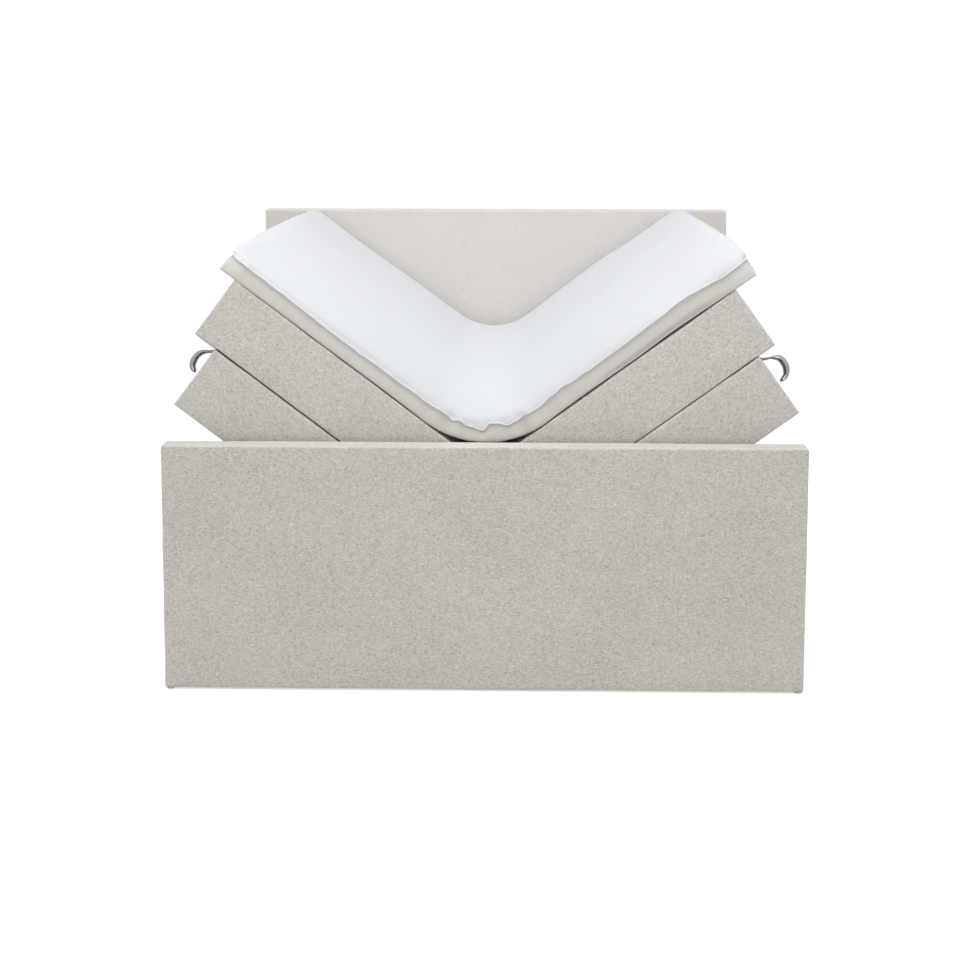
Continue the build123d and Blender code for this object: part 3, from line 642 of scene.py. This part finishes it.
CLOTH = (0.652, 0.630, 0.593)
# The headboard's cloth: a lighter, flatter copy of the same upholstery, as painted light on the
# headboard
FAR_CLOTH_PAINTED_LIGHT = (0.655, 0.637, 0.608)
upholstery = woven_material("upholstery", CLOTH, contrast=0.23, thread=0.0011, sheen=0.45)
far_upholstery = woven_material("far_upholstery", FAR_CLOTH_PAINTED_LIGHT, contrast=0.065, thread=0.0011, sheen=0.45)
topper_top = knit_material("topper_top", (0.636, 0.649, 0.675), rib=0.0012, contrast=0.012)
topper_band = knit_material("topper_band", (0.615, 0.592, 0.556), rib=0.0014, contrast=0.03)
# The piping is white cloth made lighter than the top's white: its own colour plus a painted highlight
# along the seam's lip
piping = knit_material("piping", (0.800, 0.800, 0.798), rib=0.0010, contrast=0.03)
strap = woven_material("strap", (0.420, 0.425, 0.410), contrast=0.18, thread=0.0009, sheen=0.1)
dust_cloth = knit_material("dust_cloth", (0.115, 0.115, 0.118), rib=0.0016, contrast=0.18)
# Dark cloth under the mattresses and the topper where they lie on lid or mattress: painted shade in the
# joints between them
lining = knit_material("lining", (0.120, 0.119, 0.116), rib=0.0018, contrast=0.12)
solids = {name: solid_material(name, *values) for name, values in SOLIDS.items()}
for kind, starts in CAD_NODES.items():
    for name, thing in frame["nodes"].items():
        if name.startswith(tuple(starts.split())):
            thing.data.materials.clear()
            thing.data.materials.append(solids[kind])


def declare(thing, body, node=None):
    """Says what a piece rides on, and hides the node that it replaces."""
    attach(thing, body)
    if node is not None:
        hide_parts(node)


def board(name, node, cloth, seed):
    """The padded cloth cover of the footboard or the headboard."""
    low, high = (np.array(corner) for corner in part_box(node))
    co, own, faces = upholstered(low, high, "board", seed)
    cover = piece(name, co, faces, [cloth], own)
    declare(cover, "base", node)


def end_rim(co, low, high, kind):
    """1 on a block's rims at its foot and head ends, falling to 0 just past them."""
    edge = np.minimum(co[:, 1] - low[1], high[1] - co[:, 1])
    return np.clip((COVERS[kind][0] + RIM_BAND - edge) / RIM_BAND, 0, 1)


def lid(side, seed):
    """A lid's cover, made in the side's own frame and raised with its wing."""
    node = "lid_cover_" + side.name
    low, high = side.box(node)
    co, own, faces = upholstered(low, high, "lid", seed)
    over = np.clip(1 - (high[2] - co[:, 2]) / JOINT_REACH, 0, 1)
    drop, inward, fade = LID_TOP_DROP
    outer = np.clip((co[:, 0] - high[0] + inward) / fade, 0, 1)
    co[:, 2] -= drop * np.maximum(end_rim(co, low, high, "lid"), outer) * over
    # The underside is flat: over the board inside, and clear of the rubber stops
    inset = np.minimum(own - low, high - own)[:, :2].min(1)
    flat = (own[:, 2] < low[2] + SAME) & (inset > COVERS["lid"][0] - SAME)
    co[:, 2] = np.maximum(co[:, 2], low[2] - LID_UNDER_COVER)
    co[flat, 2] = low[2] - LID_UNDER_COVER
    cover = piece(
        "lid_upholstery_" + side.name, side.raised(co), faces, [upholstery], own, side.sign < 0
    )
    declare(cover, "wing_" + side.name, node)


def round_inner_edge(co, low, high, radius):
    """Rounds a mattress's upper edge at the middle of the bed."""
    middle = (low[2] + high[2]) / 2
    reach = (high[2] - low[2]) / 2 - radius
    x = co[:, 0] - (low[0] + radius)
    z = co[:, 2] - middle - reach
    beyond = np.hypot(x, z)
    corner = (x < 0) & (z > 0) & (beyond > radius)
    scale = radius / np.maximum(beyond, LEAST)
    co[corner, 0] = (low[0] + radius + x * scale)[corner]
    co[corner, 2] = (middle + reach + z * scale)[corner]


def mattress(side, seed):
    """A mattress's cover, with dark cloth where it lies on its lid: painted shade in the joint."""
    node = "mattress_cover_" + side.name
    low, high = side.box(node)
    co, own, faces = upholstered(low, high, "mattress", seed)
    round_inner_edge(co, low, high, MATTRESS_INNER_RADIUS)
    lid_end = side.box("lid_cover_" + side.name)[1][0]
    under = np.clip(1 - (co[:, 2] - low[2]) / JOINT_REACH, 0, 1)
    hanging = np.clip((co[:, 0] - lid_end) / HANGING_FADE, 0, 1)
    open_end = end_rim(co, low, high, "mattress")
    co[:, 2] += JOINT_GAP[side.name] * open_end * under - UNDER_FOAM * hanging * under
    # Faces lying on the lid take the dark cloth: painted shade in the joint
    lies = (own[:, 2] < low[2] + SAME) & (own[:, 0] < lid_end)
    which = [int(lies[face].all()) for face in faces]
    cover = piece(
        "mattress_tick_" + side.name, side.raised(co), faces, [upholstery, lining], own,
        side.sign < 0, which,
    )
    declare(cover, "mattress_" + side.name, node)


def staples(name, places, way, body, raised=None):
    """Small wire staples, each drawn as its bridge only: a short bar on the surface."""
    co, faces = [], []
    out = np.array(way)
    for place, along in places:
        place, along = np.array(place), np.array(along)
        across = np.cross(out, along)
        start = len(co)
        for end in (-1, 1):
            for a, b in ((-1, 0), (1, 0), (1, 1), (-1, 1)):
                co.append(
                    place + along * end * STAPLE_LENGTH / 2
                    + across * a * STAPLE_WIRE / 2 + out * b * STAPLE_WIRE
                )
        faces += [tuple(start + n for n in face) for face in ring_faces(2, 4, turned=True)]
    co = np.array(co)
    thing = piece(name, raised(co) if raised else co, faces, [solids["plain_steel"]], co)
    thing.data.polygons.foreach_set("use_smooth", np.zeros(len(thing.data.polygons), bool))
    declare(thing, body)


def dust_cover(side):
    """The stapled cloth under a lid, over its board."""
    low, high = side.box("lid_cover_" + side.name)
    low, high = low + DUST_INSET, high - DUST_INSET
    base = side.box("lid_underside_" + side.name)[0][2]
    xs, ys = (np.linspace(low[k], high[k], DUST_GRID[k]) for k in range(2))
    co, keys, faces = grid_box(xs, ys, np.array([base - DUST_HALF, base + DUST_HALF]))
    edge = np.minimum(co - low, high - co)[:, :2].min(1)
    wavelength, seed, height, fade = DUST_RIPPLES
    ripple = height * waves(co, wavelength, seed) * np.clip(edge / fade, 0, 1)
    co[:, 2] += (keys[:, 2] == 0) * ripple
    body = "wing_" + side.name
    cover = piece(
        "dust_cover_" + side.name, side.raised(co), faces, [dust_cloth], co, side.sign < 0
    )
    declare(cover, body)
    inset, row_end, rise = DUST_STAPLES
    under = base - DUST_HALF - rise
    places = []
    for axis in (0, 1):
        along = (0, 1, 0) if axis == 0 else (1, 0, 0)
        other = 1 - axis
        count = int((high[other] - low[other]) / STAPLE_PITCH)
        for across in (low[axis] + inset, high[axis] - inset):
            for at in np.linspace(low[other] + row_end, high[other] - row_end, count):
                x, y = (across, at) if axis == 0 else (at, across)
                places.append(((x, y, under), along))
    staples("dust_staples_" + side.name, places, (0, 0, -1), body, side.raised)


class Valley:
    """The line that the topper's underside follows: two slopes joined by an arc.
    Along it, u is zero where it is level, and h is the height over it."""

    def __init__(self, base):
        ways, points = {}, {}
        for side in sides:
            # Any point on the slope will do
            points[side.name] = side.raised(np.array([[0.5, 0, base]]))[0][[0, 2]]
            ways[side.name] = np.array([side.sign * cos(side.angle), sin(side.angle)])
        left, right = ways["left"], ways["right"]
        steps = np.linalg.solve(np.stack([right, -left], 1), points["left"] - points["right"])
        self.vertex = points["right"] + steps[0] * right
        self.ways = ways
        self.angles = {side.name: side.angle for side in sides}
        self.tangent = VALLEY_RADIUS * tan(sum(self.angles.values()) / 2)
        up = np.array([-sin(self.angles["right"]), cos(self.angles["right"])])
        self.centre = self.vertex + self.tangent * right + VALLEY_RADIUS * up
        self.middle = VALLEY_RADIUS * asin(-self.centre[0] / VALLEY_RADIUS)

    def reach(self, side, x, base):
        """u at a place x of the side's own frame."""
        point = side.raised(np.array([[x, 0, base]]))[0][[0, 2]]
        far = (point - self.vertex) @ self.ways[side.name] - self.tangent
        return side.sign * (far + VALLEY_RADIUS * side.angle)

    def place(self, u, y, h):
        slope = np.clip(u / VALLEY_RADIUS, -self.angles["left"], self.angles["right"])
        extra = u - slope * VALLEY_RADIUS
        x = self.centre[0] + VALLEY_RADIUS * np.sin(slope) + extra * np.cos(slope)
        z = self.centre[1] - VALLEY_RADIUS * np.cos(slope) + extra * np.sin(slope)
        return np.stack([x - h * np.sin(slope), y, z + h * np.cos(slope)], 1)


def tube(path, radius, count):
    """A round tube along a path, as points and faces, with a count of sides."""
    ahead = np.gradient(path, axis=0)
    ahead /= np.linalg.norm(ahead, axis=1, keepdims=True)
    first = np.cross(ahead, (0, 0, 1))
    weak = np.linalg.norm(first, axis=1) < 0.2
    first[weak] = np.cross(ahead[weak], (1, 0, 0))
    first /= np.linalg.norm(first, axis=1, keepdims=True)
    other = np.cross(ahead, first)
    turns = (np.arange(count) * 2 * pi / count)[None, :, None]
    ring = np.cos(turns) * first[:, None] + np.sin(turns) * other[:, None]
    co = (path[:, None] + radius * ring).reshape(-1, 3)
    return co, ring_faces(len(path), count)


def topper_grid(low, high, middle):
    """Places along the topper and along the bed, and up its band, from 0 to 1."""
    rim = np.array(RIM_PLACES)
    us = np.concatenate([
        low[0] + rim[:-1],
        np.linspace(low[0] + CORNER, -VALLEY_REACH, SLOPE_COUNT)[:-1],
        np.linspace(-VALLEY_REACH, middle - VALLEY_SLIT, VALLEY_COUNT),
        [middle],
        np.linspace(middle + VALLEY_SLIT, VALLEY_REACH, VALLEY_COUNT),
        np.linspace(VALLEY_REACH, high[0] - CORNER, SLOPE_COUNT)[1:],
        (high[0] - rim[:-1])[::-1],
    ])
    ys = np.concatenate([
        low[1] + rim[:-1],
        np.linspace(low[1] + CORNER, high[1] - CORNER, LENGTH_COUNT),
        (high[1] - rim[:-1])[::-1],
    ])
    return us, ys, np.array(BAND_ROWS)


class Topper:
    """The topper laid flat: u along it from the valley, y along the bed, h over the
    mattresses. Each point of its grid has its way out to the topper's outline."""

    def __init__(self, low, high, middle):
        self.low, self.high = low, high
        self.us, self.ys, rows = topper_grid(low, high, middle)
        co, self.keys, self.faces = grid_box(self.us, self.ys, rows)
        self.last_row = len(rows) - 1
        self.q = co[:, 2]
        self.top = self.keys[:, 2] == self.last_row
        self.bottom = self.keys[:, 2] == 0
        self.round_corners(co[:, 0], co[:, 1])
        self.shape_seams()
        out, self.h = self.shape_rows()
        self.u = self.u + self.out_u * out
        self.y = self.y + self.out_y * out

    def round_corners(self, u, y):
        """Sets each point's place, its distance in from the outline and its way out."""
        low, high = self.low, self.high
        past_u, past_y = (
            np.maximum(low[k] + CORNER - at, 0) + np.maximum(at - high[k] + CORNER, 0)
            for k, at in enumerate((u, y))
        )
        side_u, side_y = (np.sign(at - (low[k] + high[k]) / 2) for k, at in enumerate((u, y)))
        far = np.maximum(past_u, past_y)
        self.edge = np.where(far > 0, CORNER - far, INSIDE)
        length = np.maximum(np.hypot(past_u, past_y), LEAST)
        least, more, power = CORNER_ROUND
        roundness = np.where(self.bottom, least, least + more * np.clip(self.q, 0, 1) ** power)
        in_corner = (past_u > 0) & (past_y > 0)
        shrink = np.where(in_corner, 1 - roundness * (1 - far / length), 1)
        self.u = u + side_u * past_u * (shrink - 1)
        self.y = y + side_y * past_y * (shrink - 1)
        self.past_u, self.past_y = past_u, past_y
        self.out_u, self.out_y = side_u * past_u / length, side_y * past_y / length
        self.flat = np.stack([self.u, self.y, np.zeros(len(u))], 1)

    def shape_seams(self):
        """Sets the height of the top and the bottom seam, and the puckers along them."""
        u, flat = self.u, self.flat
        foot = np.clip((self.high[1] - self.y) / (self.high[1] - self.low[1]), 0, 1)
        valley = bell(u, 0, VALLEY_REACH)

        def more_in_valley(wavelength, seed, height, more):
            return waves(flat, wavelength, seed) * (height + more * valley)

        # The photograph's own line holds at the foot end, and random waves past it
        self.near = near = np.clip((foot - NEAR_FROM) / NEAR_SHARE, 0, 1)
        seam = SEAM_HEIGHT + (1 - near) * more_in_valley(*SEAM_WAVES)
        seam = seam + near * table(SEAM_RIPPLES, u) + more_in_valley(*SEAM_RUFFLES)
        wavelength, seed, height = FAR_RUFFLES
        seam += (1 - foot) ** RUFFLE_FADE * height * waves(flat, wavelength, seed)
        self.lift = table(FAR_LIFT, u) * (1 - foot) ** LIFT_FADE
        self.seam = seam + self.lift
        self.hem = (1 - near) * HEM_HEIGHT + near * table(HEM_RIPPLES, u)
        self.puckers = more_in_valley(*PUCKERS)

    def band_shape(self):
        """The band: tucked in under the top seam, fuller towards the bottom one."""
        q = self.q
        belly = np.sin(pi * np.clip(q, 0, 1) ** BELLY_POWER)
        depth, row, row_width, place, reach = CREASE
        crease = bell(q, row, row_width) * np.exp(-(((self.u - place) / reach) ** 6)) * self.near
        lip = np.clip((q - LIP_FROM) / LIP_SHARE, 0, 1) ** LIP_POWER
        puckers = self.puckers * (PUCKER_LOW + PUCKER_MORE * q)
        out = BAND_BELLY * belly + puckers + SEAM_OVERHANG * lip
        return out - depth * crease, self.hem + (self.seam - self.hem) * q

    def top_shape(self):
        """The top: rolls over from the seam past a row of stitches, then nearly flat."""
        edge, puckers = self.edge, self.puckers
        t_end = np.clip((CORNER - self.past_u) / END_ROLL, 0, 1)
        t_foot = np.clip((CORNER - self.past_y) / FOOT_ROLL, 0, 1)
        roll = (1 - (1 - t_end) ** ROLL_POWER) ** (1 / ROLL_POWER) * (1 - (1 - t_foot) ** 2) ** 0.5
        swell = sum(
            height * waves(self.flat, wavelength, seed) for wavelength, seed, height in TOP_WAVES
        )
        crown = table(CROWN, self.u) + swell - (self.seam - SEAM_HEIGHT - self.lift)
        at_end = self.out_u**2
        depth, inset, width = STITCH
        share = np.clip(STITCH_FADE_PLACE - self.u, STITCH_LEAST, 1)
        stitched = bell(edge, inset, width) * share * (1 - at_end)
        height = self.seam + crown * roll - depth * stitched
        height += PUCKER_RISE * puckers * np.exp(-edge / PUCKER_RISE_REACH) * (edge > SAME)
        # The ends swell out over the seam, and the foot edge has a lip
        swell_out, swell_inset, swell_width = END_SWELL
        swollen = np.where(edge < SAME, SEAM_OVERHANG, swell_out * bell(edge, swell_inset, swell_width))
        lipped = SEAM_OVERHANG * np.exp(-edge / LIP_REACH) - depth * stitched
        pucker_out = (PUCKER_LOW + PUCKER_MORE) * puckers * np.exp(-edge / PUCKER_REACH)
        return at_end * swollen + (1 - at_end) * lipped + pucker_out, height

    def shape_rows(self):
        """How far out and how high each point of the top, the band and the underside is."""
        top, bottom, edge = self.top, self.bottom, self.edge
        band_out, band_h = self.band_shape()
        top_out, top_h = self.top_shape()
        under_h = self.hem * np.exp(-edge / HEM_REACH)
        under_out = PUCKER_LOW * self.puckers * (edge < SAME)
        h = np.where(top, top_h, np.where(bottom, under_h, band_h))
        out = np.where(top, top_out, np.where(bottom, under_out, band_out))
        at_edge = np.clip(1 - edge / CORNER, 0, 1)
        out *= at_edge > 0.5
        # The outline of the top seam against that of the bottom one
        from_foot = self.y - self.low[1]
        left, right = (table(END_OUTLINE[side.name], from_foot) for side in sides)
        ends = np.where(self.out_u < 0, left, right)
        lean = ends * np.abs(self.out_u) - FOOT_TUCK * np.maximum(-self.out_y, 0)
        out += lean * at_edge * np.where(top, 1, np.where(bottom, 0, self.q))
        return out, h

    def top_rim(self, cut, end):
        """The grid's points along the top seam, from the valley round one end and back."""
        last_y = len(self.ys) - 1
        across = range(cut, end, 1 if end > cut else -1)
        around = [(k, 0) for k in across]
        around += [(end, k) for k in range(last_y + 1)]
        around += [(k, last_y) for k in across][::-1]
        index = {tuple(key): n for n, key in enumerate(self.keys)}
        return [index[(a, b, self.last_row)] for a, b in around]


def topper_half(side, topper, shape, cut, lying):
    """One half of the topper from its valley outward, with the piping on its top seam."""
    keys = topper.keys
    own = np.stack([topper.u, topper.y, topper.h], 1)
    keep = [f for f in topper.faces if (keys[f, 0].mean() > cut) == (side.sign > 0)]
    used = sorted({n for face in keep for n in face})
    renumber = {old: new for new, old in enumerate(used)}
    faces = [tuple(renumber[n] for n in face) for face in keep]
    which = []
    for face in keep:
        levels = keys[face, 2]
        # Underside faces lying on the mattresses take the dark cloth: painted shade under the topper
        hidden = levels.max() == 0 and lying[0] < own[face, 0].mean() < lying[1]
        which.append(0 if levels.min() == topper.last_row else 3 if hidden else 1)
    rim = topper.top_rim(cut, len(topper.us) - 1 if side.sign > 0 else 0)
    round_rim, rim_faces = tube(shape[rim], PIPING_RADIUS, PIPING_SIDES)
    faces += [tuple(n + len(used) for n in face) for face in rim_faces]
    which += [2] * len(rim_faces)
    return piece(
        "topper_cover_" + side.name, np.concatenate([shape[used], round_rim]), faces,
        [topper_top, topper_band, piping, lining],
        np.concatenate([own[used], np.repeat(own[rim], PIPING_SIDES, axis=0)]), which=which,
    )


def topper():
    """The topper over both wings: a soft white top, a plain band and a piped top seam."""
    boxes = {side.name: side.box("topper_" + side.name) for side in sides}
    base_corner, far_corner = boxes["right"]
    base = base_corner[2]
    valley = Valley(base)
    u_low, u_high = (valley.reach(side, boxes[side.name][1][0], base) for side in sides)
    # From where to where the topper lies on the mattresses
    lying = [
        valley.reach(side, side.box("mattress_cover_" + side.name)[1][0], base) for side in sides
    ]
    laid = Topper((u_low, base_corner[1]), (u_high, far_corner[1]), valley.middle)
    shape = valley.place(laid.u, laid.y, laid.h)
    cut = int(np.argmin(np.abs(laid.us - valley.middle)))
    for side in sides:
        cover = topper_half(side, laid, shape, cut, lying)
        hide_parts("topper_" + side.name, *(["topper_valley"] if side.sign > 0 else []))
        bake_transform(cover)


def smooth_path(points, count):
    """A smooth line through a few points, at even steps of its parameter."""
    points = np.array(points, float)
    before = 2 * points[0] - points[1]
    after = 2 * points[-1] - points[-2]
    p = np.vstack([before, points, after])
    line = []
    for k in range(1, len(p) - 2):
        for t in np.arange(count) / count:
            line.append(0.5 * (
                2 * p[k]
                + (p[k + 1] - p[k - 1]) * t
                + (2 * p[k - 1] - 5 * p[k] + 4 * p[k + 1] - p[k + 2]) * t**2
                + (3 * p[k] - p[k - 1] - 3 * p[k + 1] + p[k + 2]) * t**3
            ))
    line.append(points[-1])
    return np.array(line)


# One folded strap seen along the bed, from the seam out round its tip and back in:
# out from the lid's top edge, and up
LOOPS = {
    "left": (
        (-0.004, 0), (0.006, -0.0055), (0.02, -0.0055), (0.034, -0.0075), (0.044, -0.0145),
        (0.051, -0.022), (0.056, -0.032), (0.058, -0.0415), (0.0575, -0.05), (0.055, -0.056),
        (0.0515, -0.059), (0.048, -0.055), (0.05, -0.044), (0.0475, -0.0345), (0.042, -0.024),
        (0.034, -0.0155), (0.0215, -0.01), (0.006, -0.0085), (-0.004, -0.003),
    ),
    "right": (
        (-0.004, -0.002), (0.005, -0.0075), (0.0165, -0.0065), (0.028, -0.003), (0.0415, -0.0005),
        (0.05, -0.003), (0.058, -0.0105), (0.065, -0.0215), (0.0685, -0.033), (0.068, -0.0455),
        (0.0635, -0.0575), (0.056, -0.064), (0.0525, -0.06), (0.056, -0.0545), (0.0605, -0.046),
        (0.0605, -0.036), (0.058, -0.027), (0.0525, -0.018), (0.045, -0.01), (0.028, -0.0065),
        (0.0165, -0.0095), (0.005, -0.0105), (-0.004, -0.005),
    ),
}
# Steps from each place to the next, and places across the strap
LOOP_STEPS = 5
STRAP_PLACES = 9
STRAP_THICKNESS = 0.0016
STRAP_TWIST = radians(22)
STRAP_FREE = 0.03
STRAP_EDGE_SHARE = 0.6


def pull_loop(side):
    """The strap in the seam between lid and mattress, near the foot end."""
    node = "pull_loop_" + side.name
    low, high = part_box(node)
    wide = high[1] - low[1]
    lid_high = side.box("lid_cover_" + side.name)[1]
    corner = side.raised(np.array([[lid_high[0], 0, lid_high[2]]]))[0]
    line = smooth_path(LOOPS[side.name], LOOP_STEPS)
    ahead = np.gradient(line, axis=0)
    ahead /= np.linalg.norm(ahead, axis=1, keepdims=True)
    normal = np.stack([-ahead[:, 1], ahead[:, 0]], 1)
    across = np.linspace(0, 1, STRAP_PLACES)
    length = np.concatenate([[0], np.cumsum(np.linalg.norm(np.diff(line, axis=0), axis=1))])
    around = [(a, 1) for a in across] + [(a, -1) for a in across[::-1]]
    co, own = [], []
    for k in range(len(line)):
        # Free of its seam, the strap leans over by its twist
        free = min(1, length[k] / STRAP_FREE, (length[-1] - length[k]) / STRAP_FREE)
        skew = tan(STRAP_TWIST) * wide * free
        for a, way in around:
            thin = STRAP_THICKNESS / 2 * (STRAP_EDGE_SHARE if a in (0, 1) else 1)
            flat = line[k] + normal[k] * (way * thin) + np.array([a * skew, 0])
            co.append((corner[0] + side.sign * flat[0], low[1] + wide * a, corner[2] + flat[1]))
            own.append((length[k], wide * a, way * thin))
    faces = ring_faces(len(line), len(around), turned=True)
    loop = piece("strap_loop_" + side.name, co, faces, [strap], own, side.sign > 0)
    declare(loop, "wing_" + side.name, node)


def fold_profile(outer, inner, wood, panel_top, base, rim):
    """The cloth's outline across a side panel: up its face, over its rim and in."""
    face = [(outer + 0.0006, z) for z in np.linspace(base + 0.05, rim - 0.05, 5)]
    return [
        (wood + 0.0002, base), (outer - 0.002, base), (outer, base + 0.003), *face,
        (outer, rim - 0.006), (outer - 0.0015, rim - 0.002), (outer - 0.005, rim),
        (inner + 0.004, rim), (inner + 0.0005, rim - 0.0015),
        (inner - FOLD_THICKNESS, rim - 0.006), (inner - FOLD_THICKNESS, rim - FOLD_DEPTH),
        (inner - 0.0001, rim - FOLD_DEPTH - 0.001), (inner - 0.0001, panel_top + 0.0001),
        (wood + 0.0002, panel_top + 0.0001),
    ]


def box_side(side):
    """The cloth over a side panel of the storage box, folded in over its rim."""
    node = "side_cover_" + side.name
    low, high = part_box(node)
    panel_low, panel_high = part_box("side_panel_" + side.name)
    inner, outer = sorted((abs(low[0]), abs(high[0])))
    wood = max(abs(panel_low[0]), abs(panel_high[0]))
    profile = fold_profile(outer, inner, wood, panel_high[2], low[2], high[2])
    co = []
    for y in np.linspace(low[1], high[1], FOLD_STATIONS):
        ripple = sum(height * sin(y * turns) for height, turns in FOLD_RIPPLES)
        co += [(x, y, z + 2 * ripple if x < inner else z) for x, z in profile]
    co, faces = np.array(co), ring_faces(FOLD_STATIONS, len(profile))
    cover = piece(
        "box_side_" + side.name, co * (side.sign, 1, 1), faces, [upholstery], co, side.sign > 0
    )
    declare(cover, "base", node)
    x, z = (inner - FOLD_THICKNESS) * side.sign, high[2] - FOLD_DEPTH + RIM_STAPLE_RISE
    ys = np.arange(low[1] + RIM_STAPLE_ENDS[0], high[1] - RIM_STAPLE_ENDS[1], STAPLE_PITCH)
    places = [((x, y, z), (0, 1, 0)) for y in ys]
    staples("rim_staples_" + side.name, places, (-side.sign, 0, 0), "base")


board("footboard_padding", "footboard_cover", upholstery, seed=21)
# The headboard takes the lighter, flatter copy of the cloth: painted light
board("headboard_padding", "headboard_cover", far_upholstery, seed=31)
for side in sides:
    lid(side, seed=41 + side.sign)
    mattress(side, seed=51 + side.sign)
    dust_cover(side)
    pull_loop(side)
    box_side(side)
topper()


def aimed(name, data, place, turn):
    """A lamp or camera in its place."""
    thing = placed(name, data)
    thing.location = place
    thing.rotation_mode = "QUATERNION"
    thing.rotation_quaternion = turn
    return thing


def lamp(name, place, aim, size, power, spread):
    data = bpy.data.lights.new(name, "AREA")
    data.shape = "RECTANGLE"
    data.size, data.size_y = size
    data.energy = power
    data.spread = radians(spread)
    aimed(name, data, place, (Vector(aim) - Vector(place)).to_track_quat("-Z", "Y"))


def pale_floor():
    """A plain white floor, pale to the camera, that keeps a soft shadow."""
    mesh = bpy.data.meshes.new("floor")
    corners = [(x * FLOOR_HALF, y * FLOOR_HALF, 0) for x, y in ((-1, -1), (1, -1), (1, 1), (-1, 1))]
    mesh.from_pydata(corners, [], [(0, 1, 2, 3)])
    material, tree, shader, add = nodes_of("floor")
    colour = (FLOOR_SHADE,) * 3 + (1,)
    feed(tree, shader, [("Base Color", colour), ("Roughness", 1.0), ("Specular IOR Level", 0.0)])
    path = add("ShaderNodeLightPath").outputs
    seen = maths(add, "MAXIMUM", path["Is Camera Ray"], path["Is Glossy Ray"])
    seen = maths(add, "MAXIMUM", seen, path["Is Transmission Ray"])
    emission = add("ShaderNodeEmission", [("Strength", maths(add, "MULTIPLY", seen, FLOOR_GLOW))])
    both = add("ShaderNodeAddShader", [(0, shader.outputs[0]), (1, emission.outputs[0])])
    feed(tree, tree.nodes["Material Output"], [("Surface", both.outputs[0])])
    mesh.materials.append(material)
    placed("floor", mesh)


def white_world():
    """White to the camera, and an even soft light on the object."""
    world = bpy.data.worlds.new("studio")
    bpy.context.scene.world = world
    world.use_nodes = True
    tree = world.node_tree
    tree.nodes.clear()
    add = adder(tree)
    path = add("ShaderNodeLightPath").outputs
    seen = maths(add, "MAXIMUM", path["Is Camera Ray"], path["Is Glossy Ray"])
    soft, white = (
        add("ShaderNodeBackground", [("Color", (1, 1, 1, 1)), ("Strength", strength)]).outputs[0]
        for strength in (WORLD_LIGHT, 1.0)
    )
    mix = add("ShaderNodeMixShader", [(0, seen), (1, soft), (2, white)])
    add("ShaderNodeOutputWorld", [("Surface", mix.outputs[0])])


def camera():
    ahead = Vector((
        sin(CAMERA_YAW) * cos(CAMERA_PITCH), cos(CAMERA_YAW) * cos(CAMERA_PITCH), -sin(CAMERA_PITCH)
    ))
    data = bpy.data.cameras.new("camera")
    data.lens, data.sensor_width = CAMERA_LENS, CAMERA_SENSOR
    data.shift_y = CAMERA_SHIFT
    data.clip_start, data.clip_end = 0.1, 200
    turn = ahead.to_track_quat("-Z", "Y") @ Quaternion((0, 0, 1), -CAMERA_ROLL)
    bpy.context.scene.camera = aimed("camera", data, CAMERA_PLACE, turn)


camera()
pale_floor()
white_world()
for name, values in LAMPS.items():
    lamp(name, *values)
bpy.context.scene.view_settings.view_transform = "Standard"
